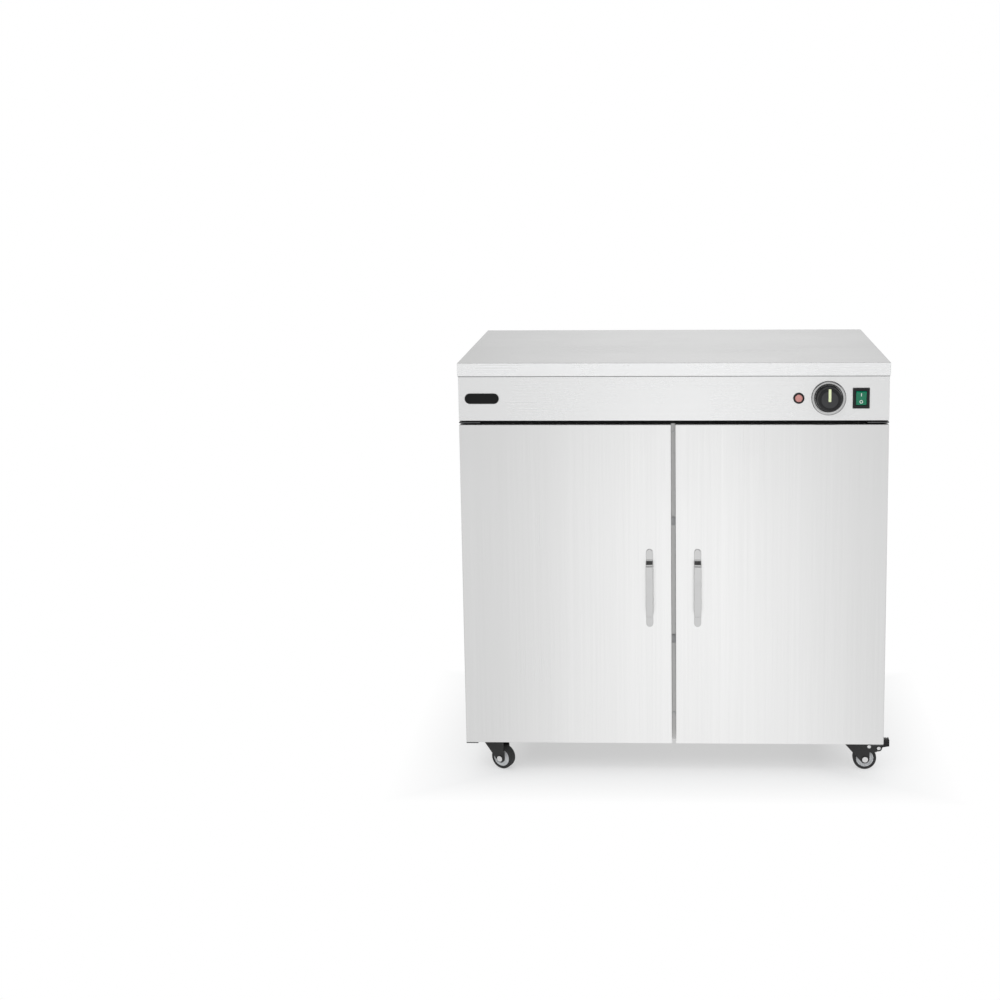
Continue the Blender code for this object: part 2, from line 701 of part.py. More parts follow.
def add_door(side, sign):
    """A door on its pivots: the folded skin, the inner panel and the strap handle."""
    hinge = add_empty(f"{side}_door_axis", (sign * PIVOT_X, PIVOT_Y, 0.0))
    bpy.context.view_layer.update()
    xs = sorted((sign * CENTRE_SLIT / 2, sign * BODY_HALF))
    low = (xs[0], FRONT_Y, DOOR_FOOT)
    high = (xs[1], DOOR_BACK, DOOR_HEAD)
    skin = add_pan(f"{side}_door_skin", low, high, (0, 1, 0), STEEL, parent=hinge)
    radius = PIN_RADIUS + GAP
    for level in (DOOR_FOOT, DOOR_HEAD):
        bore = rod_mesh(radius, level - PAST / 2, level + PAST / 2)
        combine(skin, bore, "DIFFERENCE")

    shift = -hinge.matrix_world.translation
    inset = SHEET + GAP
    low = Vector((xs[0] + inset, DOOR_BACK - SHEET, DOOR_FOOT + inset)) + shift
    high = Vector((xs[1] - inset, DOOR_BACK, DOOR_HEAD - inset)) + shift
    add_object(f"{side}_door_inner", box_mesh(low, high), STEEL, parent=hinge)
    add_handle(side, sign, hinge)


def add_handle(side, sign, hinge):
    """A flat strap bent into a bow, with rounded tabs that lie on the door."""
    near = GAP
    tab = GAP + HANDLE_THICK
    grip = HANDLE_PROUD - HANDLE_THICK
    foot = DOOR_FOOT + HANDLE_ABOVE_DOOR_FOOT
    head = foot + HANDLE_LENGTH
    slant = HANDLE_SLANT
    lower = foot + HANDLE_TAB
    upper = head - HANDLE_TAB
    points = [
        (head, near, 0),
        (head, tab, 0),
        (upper, tab, 0.5),
        (upper - slant, HANDLE_PROUD, 1),
        (lower + slant, HANDLE_PROUD, 1),
        (lower, tab, 0.5),
        (foot, tab, 0),
        (foot, near, 0),
        (lower + HANDLE_THICK, near, 1),
        (lower + HANDLE_THICK + slant, grip, 0.5),
        (upper - HANDLE_THICK - slant, grip, 0.5),
        (upper - HANDLE_THICK, near, 1),
    ]
    origin = hinge.matrix_world.translation
    outline = [(FRONT_Y - out - origin.y, level) for level, out, _ in points]
    x = sign * (CENTRE_SLIT / 2 + HANDLE_FROM_SLIT) - origin.x
    half = HANDLE_WIDTH / 2
    strap = add_object(
        f"{side}_door_handle", prism_mesh(outline, x - half, x + half, "X"), BRIGHT, parent=hinge
    )
    bends = {(round(FRONT_Y - out - origin.y, 5), round(z, 5)): bend for z, out, bend in points}

    def bend_share(a, b):
        keys = [(round(p.y, 5), round(p.z, 5)) for p in (a, b)]
        return bends.get(keys[0], 0) if keys[0] == keys[1] else 0

    round_folds(strap, bend_share, HANDLE_BEND, 3)
    plan = arc((x, head - half), half, 0, 180, 10) + arc((x, foot + half), half, 180, 360, 10)
    out_y = FRONT_Y - HANDLE_PROUD - PAST - origin.y
    in_y = FRONT_Y + PAST - origin.y
    combine(strap, prism_mesh(plan, out_y, in_y, "Y"), "INTERSECT")


def add_hinge_brackets(side, sign):
    """The pivots of a door: a tab over it and a plate under it, each with its pin."""
    front = FRONT_Y + BRACKET_SETBACK
    over = DOOR_HEAD + (TOP_SLIT - BRACKET_THICK) / 2
    under = PLATE_TOP - BRACKET_THICK
    beside_caster = CASTER_INSET - CASTER_PLATE / 2 - BRACKET_CLEAR
    tab = (BRACKET_WIDTH, STILE_Y - GAP, over - PIN_LENGTH, over + BRACKET_THICK / 2)
    shoe = (beside_caster, RAIL_Y + BRACKET_TAIL, under + BRACKET_THICK / 2, PLATE_TOP + PIN_LENGTH)
    for name, foot, (width, back, pin_foot, pin_head) in (("upper", over, tab), ("lower", under, shoe)):
        xs = sorted((sign * BODY_HALF, sign * (BODY_HALF - width)))
        plate = box_mesh((xs[0], front, foot), (xs[1], back, foot + BRACKET_THICK))
        obj = add_object(f"{side}_{name}_hinge", plate, ZINC)
        pin = rod_mesh(PIN_RADIUS, pin_foot, pin_head)
        combine(obj, pin, "UNION", Matrix.Translation((sign * PIVOT_X, PIVOT_Y, 0)))


def element_levels():
    """The heights of the element's two runs."""
    low = FLOOR_TOP + ELEMENT_ABOVE_FLOOR
    return low, low + ELEMENT_RISE


def add_heating_element():
    """A sheathed element bent into a hairpin, carried by the ears of its bracket."""
    y = BACK_LINER_Y + LINER_SHEET + PLENUM / 2
    low, high = element_levels()
    bend = ELEMENT_RISE / 2
    middle = (low + high) / 2
    right = ELEMENT_SPAN / 2
    route = [(right, low)]
    route += arc((-right + bend, middle), bend, 270, 90, 16)
    route += [(right, high)]
    curve = bpy.data.curves.new("heating_element", "CURVE")
    curve.dimensions = "3D"
    curve.bevel_depth = ELEMENT_RADIUS
    curve.bevel_resolution = 2
    curve.use_fill_caps = True
    spline = curve.splines.new("POLY")
    spline.points.add(len(route) - 1)
    for point, (x, z) in zip(spline.points, route):
        point.co = (x, y, z, 1.0)
    curve.materials.append(ELEMENT)
    element = bpy.data.objects.new("heating_element", curve)
    bpy.context.scene.collection.objects.link(element)

    back = BACK_LINER_Y + LINER_SHEET + GAP
    half = right - ELEMENT_BRACKET_INSET
    foot = low - ELEMENT_BRACKET_MARGIN
    head = high + ELEMENT_BRACKET_MARGIN
    ears = [
        (-half, back),
        (half, back),
        (half, back + ELEMENT_BRACKET_DEPTH),
        (half - SHEET, back + ELEMENT_BRACKET_DEPTH),
        (half - SHEET, back + SHEET),
        (-half + SHEET, back + SHEET),
        (-half + SHEET, back + ELEMENT_BRACKET_DEPTH),
        (-half, back + ELEMENT_BRACKET_DEPTH),
    ]
    bracket = add_object("element_bracket", prism_mesh(ears, foot, head, "Z"), ZINC)
    radius = ELEMENT_RADIUS + GAP
    for level in (low, high):
        place = Matrix.Translation((0, y, level)) @ Matrix.Rotation(math.radians(90), 4, "Y")
        combine(bracket, rod_mesh(radius, -right, right), "DIFFERENCE", place)


def gland_place():
    """The axis of the mains entry, pointing out of the rear panel."""
    return facing_rear(BODY_HALF - GLAND_FROM_SIDE, REAR_Y, BODY_FOOT + GLAND_ABOVE_FOOT)


def add_cable_gland():
    """The mains entry: a nut inside, a barrel through the panel and a tapered cap outside."""
    nut = -SHEET - GAP
    profile = [
        (GLAND_BORE, -GLAND_INSIDE),
        (GLAND_RADIUS, -GLAND_INSIDE),
        (GLAND_RADIUS, nut),
        (GLAND_BARREL, nut),
        (GLAND_BARREL, GAP),
        (GLAND_RADIUS, GAP),
        (GLAND_RADIUS, GLAND_NUT),
        (GLAND_RADIUS - GLAND_TAPER / 2, GLAND_NUT + GLAND_TAPER / 2),
        (GLAND_RADIUS - GLAND_TAPER, GLAND_PROUD),
        (GLAND_BORE, GLAND_PROUD),
    ]
    add_object("cable_gland", turned_mesh(profile, 24, ring=True), BLACK, gland_place(), smooth=True)


def add_caster(name, side, end, turn, braked):
    """A swivel caster: plate with king pin, fork, wheel and axle, and a brake pedal on some."""
    x = side * (BODY_HALF - CASTER_INSET)
    y = end * (REAR_Y - CASTER_INSET)
    half = CASTER_PLATE / 2
    plate_foot = PLATE_TOP - CASTER_PLATE_THICK
    plate = box_mesh((x - half, y - half, plate_foot), (x + half, y + half, PLATE_TOP))
    obj = add_object(f"{name}_caster_plate", plate, BLACK_PAINT)
    crown_foot = CROWN_TOP - FORK_CROWN
    pin = [
        (0, plate_foot + CASTER_PLATE_THICK / 2),
        (KINGPIN_RADIUS, plate_foot + CASTER_PLATE_THICK / 2),
        (KINGPIN_RADIUS, crown_foot - GAP),
        (KINGPIN_HEAD, crown_foot - GAP),
        (KINGPIN_HEAD, crown_foot - GAP - KINGPIN_HEAD_THICK),
        (0, crown_foot - GAP - KINGPIN_HEAD_THICK),
    ]
    combine(obj, turned_mesh(pin, 24), "UNION", Matrix.Translation((x, y, 0)))

    swivel = add_empty(f"{name}_swivel_axis", (x, y, 0.0), math.radians(turn))
    add_fork(name, swivel, crown_foot, braked)

    spin = add_empty(f"{name}_wheel_axis", (TRAIL, 0, WHEEL_RADIUS), parent=swivel)
    lying = Matrix.Rotation(math.radians(90), 4, "X")
    add_object(f"{name}_wheel", wheel_mesh(), RUBBER, lying, spin, True)

    reach = WHEEL_WIDTH / 2 + WHEEL_SIDE_PLAY + FORK_SHEET + GAP
    outer = reach + AXLE_HEAD_THICK
    axle = [
        (0, -outer),
        (AXLE_HEAD, -outer),
        (AXLE_HEAD, -reach),
        (AXLE_RADIUS, -reach),
        (AXLE_RADIUS, reach),
        (AXLE_HEAD, reach),
        (AXLE_HEAD, outer),
        (0, outer),
    ]
    place = Matrix.Translation((TRAIL, 0, WHEEL_RADIUS)) @ lying
    add_object(f"{name}_axle", turned_mesh(axle, 18), ZINC, place, swivel, True)
    if braked:
        add_pedal(name, swivel)


def wheel_mesh():
    """A wheel with a crowned tread and dished sides, bored for its axle."""
    half = WHEEL_WIDTH / 2
    bore = AXLE_RADIUS + AXLE_PLAY
    edge = WHEEL_RADIUS - TYRE_CROWN
    side = [
        (bore, half),
        (WHEEL_BOSS, half),
        (WHEEL_BOSS + WHEEL_DISH / 2, half - WHEEL_DISH),
        (WHEEL_RADIUS - TYRE_HEIGHT, half - WHEEL_DISH),
        (WHEEL_RADIUS - TYRE_HEIGHT + TYRE_SHOULDER, half),
        (edge - TYRE_SHOULDER, half - TYRE_CROWN),
        (edge, half - TYRE_CROWN - TYRE_SHOULDER),
        (WHEEL_RADIUS, 0),
    ]
    mirrored = [(radius, -level) for radius, level in reversed(side[:-1])]
    return turned_mesh(side + mirrored, 32, ring=True)


def add_fork(name, swivel, crown_foot, braked):
    """A pressed fork: a round crown under the plate and two cheeks that hold the axle."""
    inside = WHEEL_WIDTH / 2 + WHEEL_SIDE_PLAY
    outside = inside + FORK_SHEET
    crown_middle = CROWN_TOP - FORK_CROWN / 2
    outline = [(-FORK_NECK, crown_middle), (-FORK_NECK, crown_foot)]
    outline += arc((TRAIL, WHEEL_RADIUS), FORK_CHEEK_END, 215, 370, 10)
    if braked:
        px, pz = BRAKE_PIVOT
        outline.append((TRAIL + FORK_CHEEK_END, pz - BRAKE_EAR - BRAKE_NECK))
        outline.append((px - BRAKE_EAR / 2, pz - BRAKE_EAR))
        outline += arc(BRAKE_PIVOT, BRAKE_EAR, -80, 60, 6)
    outline += [(FORK_NECK, crown_foot), (FORK_NECK, crown_middle)]
    cheeks = prism_mesh(outline, -outside, outside, "Y")
    fork = add_object(f"{name}_fork", cheeks, BLACK_PAINT, parent=swivel)
    reach = WHEEL_RADIUS + TRAIL + BRAKE_PIVOT[0]
    slot = box_mesh((-reach, -inside, -PAST), (reach, inside, crown_foot))
    combine(fork, slot, "DIFFERENCE")
    crown = [
        (0, crown_foot),
        (FORK_TOP_RADIUS - FORK_CROWN_TAPER, crown_foot),
        (FORK_TOP_RADIUS, crown_foot + FORK_CROWN_TAPER),
        (FORK_TOP_RADIUS, CROWN_TOP - FORK_CROWN_EDGE),
        (FORK_TOP_RADIUS - FORK_CROWN_EDGE, CROWN_TOP),
        (0, CROWN_TOP),
    ]
    combine(fork, turned_mesh(crown, 28), "UNION")
    hole = rod_mesh(KINGPIN_RADIUS + KINGPIN_PLAY, crown_foot - PAST, CROWN_TOP + PAST)
    combine(fork, hole, "DIFFERENCE")
    bores = [((TRAIL, WHEEL_RADIUS), AXLE_RADIUS + GAP)]
    if braked:
        bores.append((BRAKE_PIVOT, BRAKE_PIN_RADIUS + GAP))
    for (along, level), radius in bores:
        place = Matrix.Translation((along, 0, level)) @ Matrix.Rotation(math.radians(90), 4, "X")
        combine(fork, rod_mesh(radius, -outside - PAST, outside + PAST), "DIFFERENCE", place)


def add_pedal(name, swivel):
    """The brake pedal: a lever with its pivot pin, a shoe behind the tread and a ridged toe plate."""
    px, pz = BRAKE_PIVOT
    pivot = add_empty(f"{name}_pedal_axis", (px, 0, pz), parent=swivel)
    tip = PEDAL_TIP - px
    top = PEDAL_TREAD_TOP
    ridges = []
    for i in range(3):
        near = tip - i * 2 * PEDAL_RIDGE
        far = near - PEDAL_RIDGE
        ridges += [(near, top + PEDAL_RIDGE), (far, top + PEDAL_RIDGE), (far, top)]
        ridges += [(far - PEDAL_RIDGE, top)] if i < 2 else []
    aim = math.degrees(math.atan2(WHEEL_RADIUS - pz, TRAIL - px))
    reach = math.hypot(WHEEL_RADIUS - pz, TRAIL - px) - WHEEL_RADIUS - BRAKE_CLEAR
    shoe = arc((0, 0), reach, aim + BRAKE_SWING / 2, aim + BRAKE_SWING * 1.5, 3)
    arm = PEDAL_ARM
    tread_back = tip - PEDAL_TREAD
    outline = [(arm, -arm), (2 * arm, 0), (tip, arm / 2), *ridges]
    outline += [(tread_back, top), (tread_back - PEDAL_RIDGE / 2, 1.3 * arm), (0, arm), (-arm, arm / 2)]
    outline += shoe
    half = PEDAL_WIDTH / 2
    obj = add_object(f"{name}_brake_pedal", prism_mesh(outline, -half, half, "Y"), BLACK_PAINT, parent=pivot)
    reach = WHEEL_WIDTH / 2 + WHEEL_SIDE_PLAY + FORK_SHEET
    pin = rod_mesh(BRAKE_PIN_RADIUS, -reach, reach)
    combine(obj, pin, "UNION", Matrix.Rotation(math.radians(90), 4, "X"))


def build():
    """Builds every piece of the cabinet."""
    add_worktop()
    add_rear_panel()
    add_base_pan()
    add_lintel()
    add_centre_post()
    add_liner()
    add_shelves()
    add_fascia()
    add_lamp()
    add_thermostat()
    add_switch()
    add_badge()
    add_heating_element()
    add_cable_gland()
    for side, sign in (("left", -1), ("right", 1)):
        add_side_panel(side, sign)
        add_shelf_rack(side, sign)
        add_hinge_brackets(side, sign)
        add_door(side, sign)
    for name, setting in CASTERS.items():
        add_caster(name, *setting)


clear_scene()
build()
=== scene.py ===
"""Looks of a two-door food holding cabinet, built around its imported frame.

Each sub-assembly is a class: the carcass, the compartment with its shelves, the doors, the
controls and the casters. Every place comes from the frame. Lengths are in metres.
"""

import json
import logging
import math
from collections.abc import Callable, Iterable, Sequence
from dataclasses import dataclass, field
from enum import Enum

import bmesh
import bpy
import numpy as np
from mathutils import Matrix, Vector
from mathutils.bvhtree import BVHTree

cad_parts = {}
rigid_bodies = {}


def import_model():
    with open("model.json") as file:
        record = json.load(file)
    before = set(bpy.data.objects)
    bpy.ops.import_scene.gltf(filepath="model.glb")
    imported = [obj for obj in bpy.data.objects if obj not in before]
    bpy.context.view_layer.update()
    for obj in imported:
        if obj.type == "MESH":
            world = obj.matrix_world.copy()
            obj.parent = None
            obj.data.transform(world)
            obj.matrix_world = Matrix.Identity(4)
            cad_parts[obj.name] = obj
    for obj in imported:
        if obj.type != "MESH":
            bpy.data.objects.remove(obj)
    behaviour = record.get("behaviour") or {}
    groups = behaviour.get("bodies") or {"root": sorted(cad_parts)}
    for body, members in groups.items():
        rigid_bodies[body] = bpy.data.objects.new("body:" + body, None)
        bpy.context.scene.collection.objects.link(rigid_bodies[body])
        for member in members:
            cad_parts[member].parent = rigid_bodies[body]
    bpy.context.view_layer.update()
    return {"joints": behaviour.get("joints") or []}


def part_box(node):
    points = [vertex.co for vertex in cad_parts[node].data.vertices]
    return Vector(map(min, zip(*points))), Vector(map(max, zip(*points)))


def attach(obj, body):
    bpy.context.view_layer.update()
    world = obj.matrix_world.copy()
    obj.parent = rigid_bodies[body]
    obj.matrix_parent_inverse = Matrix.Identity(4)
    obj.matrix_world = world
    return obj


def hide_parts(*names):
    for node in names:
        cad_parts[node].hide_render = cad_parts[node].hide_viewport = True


LOG = logging.getLogger("holding_cabinet")
MM = 0.001
MERGE = 1e-6
FLAT_ANGLE = math.radians(0.6)
SMOOTH_ANGLE = math.radians(38.0)
CORNER_ANGLE = math.radians(50.0)
WHITE = (1.0, 1.0, 1.0, 1.0)
MIX_SHARE, MIX_FIRST, MIX_SECOND, MIX_RESULT = 0, 6, 7, 2
FRONTWARDS, REARWARDS, DOWNWARDS = (0, -1, 0), (0, 1, 0), (0, 0, -1)

Point = tuple[float, float, float]
Colour = tuple[float, float, float]
Outline = Sequence[tuple[float, float]]


# ---------------------------------------------------------------- shader groups and finishes


class Graph:
    """A node tree with short calls for adding nodes, setting their sockets and linking them."""

    def __init__(self, tree: bpy.types.NodeTree) -> None:
        """Take a tree, and empty it.

        Args:
            tree: A shader or geometry node tree.
        """
        self.tree = tree
        tree.nodes.clear()

    def add(self, kind: str, settings: dict | None = None, **sockets: object) -> bpy.types.Node:
        """Add one node.

        Args:
            kind: The node's type name.
            settings: Its properties, by name.
            **sockets: Its inputs by name, with _ for a space: a value, or a socket to link.

        Returns:
            The new node.
        """
        node = self.tree.nodes.new(kind)
        for name, value in (settings or {}).items():
            setattr(node, name, value)
        for name, value in sockets.items():
            self.put(node.inputs[name.replace("_", " ")], value)
        return node

    def put(self, socket: bpy.types.NodeSocket, value: object) -> None:
        """Set an input socket to a value, or link another socket to it.

        Args:
            socket: The input.
            value: A value, or a socket to link.
        """
        if isinstance(value, bpy.types.NodeSocket):
            self.tree.links.new(value, socket)
        else:
            socket.default_value = value

    def math(self, operation: str, first: object, second: object = 0.0) -> bpy.types.NodeSocket:
        """Put a math node on two values or sockets.

        Args:
            operation: The node's operation.
            first: Its first value or socket.
            second: Its second value or socket.

        Returns:
            Its result.
        """
        node = self.add("ShaderNodeMath", {"operation": operation})
        self.put(node.inputs[0], first)
        self.put(node.inputs[1], second)
        return node.outputs[0]

    def noise(self, vector: object, scale: object, detail: float = 2.0) -> bpy.types.NodeSocket:
        """Put a noise texture on a vector.

        Args:
            vector: Where it is read.
            scale: How many lumps it has to a metre.
            detail: How many finer layers it has.

        Returns:
            Its factor, from 0 to 1.
        """
        node = self.add("ShaderNodeTexNoise", Vector=vector, Scale=scale, Detail=detail)
        return node.outputs["Fac"]

    def spread(self, value: object, low: object, high: object, start: float = 0.3,
               stop: float = 0.7) -> bpy.types.NodeSocket:
        """Stretch a value's range, and hold it at both ends.

        Args:
            value: The value or socket to stretch.
            low: The result at start.
            high: The result at stop.
            start: Where the value's range begins.
            stop: Where it ends.

        Returns:
            The result.
        """
        node = self.add("ShaderNodeMapRange", Value=value, From_Min=start, From_Max=stop,
                        To_Min=low, To_Max=high)
        return node.outputs["Result"]

    def blend(self, share: object, first: object, second: object) -> bpy.types.NodeSocket:
        """Mix two colours.

        Args:
            share: How much of the second there is.
            first: The first colour.
            second: The second colour.

        Returns:
            The mixed colour.
        """
        node = self.add("ShaderNodeMix", {"data_type": "RGBA"})
        for index, value in ((MIX_SHARE, share), (MIX_FIRST, first), (MIX_SECOND, second)):
            self.put(node.inputs[index], value)
        return node.outputs[MIX_RESULT]

    def layered(self, base: bpy.types.Node,
                *layers: tuple[bpy.types.NodeSocket, bpy.types.Node]) -> bpy.types.NodeSocket:
        """Lay shaders over one another.

        Args:
            base: The lowest shader.
            *layers: Each one's share and shader, from the lowest up.

        Returns:
            The mixed shader.
        """
        for share, shader in layers:
            mixed = self.add("ShaderNodeMixShader", Fac=share)
            self.put(mixed.inputs[1], base.outputs[0])
            self.put(mixed.inputs[2], shader.outputs[0])
            base = mixed
        return base.outputs[0]


def shader_group(name: str, inputs: dict[str, object], outputs: Sequence[str],
                 fill: Callable[[Graph, dict], dict]) -> bpy.types.NodeTree:
    """Build one shader node group, or return the one already built.

    Args:
        name: The group's name.
        inputs: Each input's name and default. A vector's default is a tuple.
        outputs: The names of the outputs, which are all values.
        fill: Takes the graph and the input sockets, and returns a socket for each output.

    Returns:
        The node group.
    """
    found = bpy.data.node_groups.get(name)
    if found:
        return found
    tree = bpy.data.node_groups.new(name, "ShaderNodeTree")
    graph = Graph(tree)
    for title, default in inputs.items():
        kind = "NodeSocketVector" if isinstance(default, tuple) else "NodeSocketFloat"
        tree.interface.new_socket(title, in_out="INPUT", socket_type=kind).default_value = default
    for title in outputs:
        tree.interface.new_socket(title, in_out="OUTPUT", socket_type="NodeSocketFloat")
    start = graph.add("NodeGroupInput")
    made = fill(graph, {title: start.outputs[title] for title in inputs})
    end = graph.add("NodeGroupOutput")
    for title, socket in made.items():
        graph.put(end.inputs[title], socket)
    return tree


def brushed_grain() -> bpy.types.NodeTree:
    """Return the group for lines left by a brushing belt: their tone, and their height."""
    fine_share, medium_share, broad_share = 0.40, 0.28, 0.32
    medium_to_fine = 0.16
    darkest, lightest = 0.36, 0.64

    def fill(graph: Graph, given: dict) -> dict:
        """Add three widths of line, all drawn out along the belt.

        Args:
            graph: The group's graph.
            given: Its input sockets, by name.

        Returns:
            A socket for each output, by name.
        """
        drawn = graph.add("ShaderNodeVectorMath", {"operation": "MULTIPLY"})
        graph.put(drawn.inputs[0], given["Vector"])
        graph.put(drawn.inputs[1], given["Draw"])
        line = drawn.outputs[0]
        fine = graph.noise(line, given["Fine"], 3.0)
        medium = graph.noise(line, graph.math("MULTIPLY", given["Fine"], medium_to_fine))
        broad = graph.noise(line, given["Broad"], 1.0)
        tone = graph.math("ADD", graph.math("MULTIPLY", fine, fine_share),
                          graph.math("MULTIPLY", medium, medium_share))
        tone = graph.math("ADD", tone, graph.math("MULTIPLY", broad, broad_share))
        return {"Tone": graph.spread(tone, 0.0, 1.0, darkest, lightest), "Height": fine}

    return shader_group("brushed_grain", {"Vector": (0.0, 0.0, 0.0), "Draw": (1.0, 1.0, 1.0),
                                          "Fine": 1400.0, "Broad": 16.0},
                        ("Tone", "Height"), fill)


def handling_marks() -> bpy.types.NodeTree:
    """Return the group for faint hand smears and hairline scratches, both as masks."""
    smear_start, smear_full = 0.46, 0.72
    scratch_turn, scratch_draw = (0.5, 0.7, 0.4), (1.0, 0.05, 0.6)
    scratch_scale, scratch_middle, scratch_width = 9.0, 0.5, 0.006

    def fill(graph: Graph, given: dict) -> dict:
        """Add soft patches, and thin lines where a drawn-out noise crosses its middle.

        Args:
            graph: The group's graph.
            given: Its input sockets, by name.

        Returns:
            A socket for each output, by name.
        """
        patch = graph.noise(given["Vector"], given["Scale"], 4.0)
        smear = graph.spread(patch, 0.0, 1.0, smear_start, smear_full)
        slanted = graph.add("ShaderNodeMapping", Vector=given["Vector"],
                            Rotation=scratch_turn, Scale=scratch_draw)
        across = graph.noise(slanted.outputs[0],
                             graph.math("MULTIPLY", given["Scale"], scratch_scale), 1.0)
        near = graph.math("ABSOLUTE", graph.math("SUBTRACT", across, scratch_middle))
        line = graph.spread(near, 1.0, 0.0, 0.0, scratch_width)
        return {"Smear": smear, "Scratch": graph.math("MULTIPLY", line, smear)}

    return shader_group("handling_marks", {"Vector": (0.0, 0.0, 0.0), "Scale": 7.0},
                        ("Smear", "Scratch"), fill)


def moulded_grain() -> bpy.types.NodeTree:
    """Return the group for the fine stipple of a mould or a coating: its tone and height."""
    cloud_to_stipple = 0.03

    def fill(graph: Graph, given: dict) -> dict:
        """Add a fine stipple, and a slow cloud for the tone.

        Args:
            graph: The group's graph.
            given: Its input sockets, by name.

        Returns:
            A socket for each output, by name.
        """
        stipple = graph.noise(given["Vector"], given["Stipple"])
        cloud = graph.noise(given["Vector"],
                            graph.math("MULTIPLY", given["Stipple"], cloud_to_stipple), 3.0)
        return {"Tone": graph.spread(cloud, 0.0, 1.0), "Height": stipple}

    return shader_group("moulded_grain", {"Vector": (0.0, 0.0, 0.0), "Stipple": 1500.0},
                        ("Tone", "Height"), fill)


class Belt(Enum):
    """Which way the brushing belt ran, as how much each axis is drawn out."""

    ALONG_X = (0.004, 1.0, 1.0)
    ALONG_Y = (1.0, 0.004, 1.0)
    ALONG_Z = (1.0, 1.0, 0.004)


@dataclass(frozen=True)
class Finish:
    """A surface finish, which makes one material the first time it is asked for."""

    name: str
    slot: str
    colour: Colour
    roughness: float
    metallic: float = 0.0

    def material(self) -> bpy.types.Material:
        """Return this finish's material."""
        found = bpy.data.materials.get(self.name)
        if found:
            return found
        made = bpy.data.materials.new(self.name)
        made.use_nodes = True
        made.diffuse_color = (*self.colour, 1.0)
        graph = Graph(made.node_tree)
        shader = graph.add("ShaderNodeBsdfPrincipled", Metallic=self.metallic)
        place = graph.add("ShaderNodeTexCoord").outputs["Object"]
        self.dress(graph, shader, place)
        graph.add("ShaderNodeOutputMaterial", Surface=shader.outputs[0])
        return made

    def shade(self, factor: float) -> tuple[float, float, float, float]:
        """Return the finish's colour made lighter or darker, with its alpha."""
        return (*(min(channel * factor, 1.0) for channel in self.colour), 1.0)

    def dress(self, graph: Graph, shader: bpy.types.Node, place: bpy.types.NodeSocket) -> None:
        """Link this finish's colour, roughness and relief to the shader.

        Args:
            graph: The material's graph.
            shader: Its Principled BSDF.
            place: The object's own coordinates.
        """
        raise NotImplementedError

    def relief(self, graph: Graph, shader: bpy.types.Node, height: bpy.types.NodeSocket,
               strength: float, depth: float) -> None:
        """Feed a height through a bump node into the shader's normal.

        Args:
            graph: The material's graph.
            shader: Its Principled BSDF.
            height: The height, from 0 to 1.
            strength: How much of the relief shows.
            depth: How deep a height of 1 is.
        """
        bump = graph.add("ShaderNodeBump", Strength=strength, Distance=depth, Height=height)
        graph.put(shader.inputs["Normal"], bump.outputs[0])


@dataclass(frozen=True)
class Brushed(Finish):
    """Steel sheet with belt lines, faint smears and a few hairline scratches."""

    metallic: float = 1.0
    belt: Belt = Belt.ALONG_Z
    fine: float = 1100.0
    broad: float = 13.0
    contrast: float = 0.04
    swing: float = 0.04
    smears: float = 0.025
    scratches: float = 0.15
    scratch_shade: float = 0.86
    relief_strength: float = 0.06
    relief_depth: float = 0.05 * MM

    def dress(self, graph: Graph, shader: bpy.types.Node, place: bpy.types.NodeSocket) -> None:
        """Put the belt lines in the colour, roughness and relief.

        Args:
            graph: The material's graph.
            shader: Its Principled BSDF.
            place: The object's own coordinates.
        """
        grain = graph.add("ShaderNodeGroup", {"node_tree": brushed_grain()}, Vector=place,
                          Draw=self.belt.value, Fine=self.fine, Broad=self.broad)
        marks = graph.add("ShaderNodeGroup", {"node_tree": handling_marks()}, Vector=place)
        tone = graph.blend(grain.outputs["Tone"], self.shade(1.0 - self.contrast),
                           self.shade(1.0 + self.contrast))
        scratch = graph.math("MULTIPLY", marks.outputs["Scratch"], self.scratches)
        graph.put(shader.inputs["Base Color"],
                  graph.blend(scratch, tone, self.shade(self.scratch_shade)))
        rough = graph.spread(grain.outputs["Tone"], self.roughness + self.swing,
                             self.roughness - self.swing, 0.0, 1.0)
        smear = graph.math("MULTIPLY", marks.outputs["Smear"], self.smears)
        graph.put(shader.inputs["Roughness"], graph.math("ADD", rough, smear))
        self.relief(graph, shader, grain.outputs["Height"], self.relief_strength,
                    self.relief_depth)


@dataclass(frozen=True)
class Polished(Finish):
    """Bright metal, with a slow waver in its gloss and hairline scratches."""

    metallic: float = 1.0
    marks: float = 42.0
    scratch_shade: float = 0.72
    swing: float = 0.10
    waver: float = 160.0
    relief_strength: float = 0.06
    relief_depth: float = 0.2 * MM

    def dress(self, graph: Graph, shader: bpy.types.Node, place: bpy.types.NodeSocket) -> None:
        """Put the waver in the roughness, and the scratches in the colour.

        Args:
            graph: The material's graph.
            shader: Its Principled BSDF.
            place: The object's own coordinates.
        """
        marks = graph.add("ShaderNodeGroup", {"node_tree": handling_marks()}, Vector=place,
                          Scale=self.marks)
        graph.put(shader.inputs["Base Color"],
                  graph.blend(marks.outputs["Scratch"], self.shade(1.0),
                              self.shade(self.scratch_shade)))
        graph.put(shader.inputs["Roughness"],
                  graph.spread(marks.outputs["Smear"], self.roughness,
                               self.roughness + self.swing, 0.0, 1.0))
        self.relief(graph, shader, graph.noise(place, self.waver), self.relief_strength,
                    self.relief_depth)


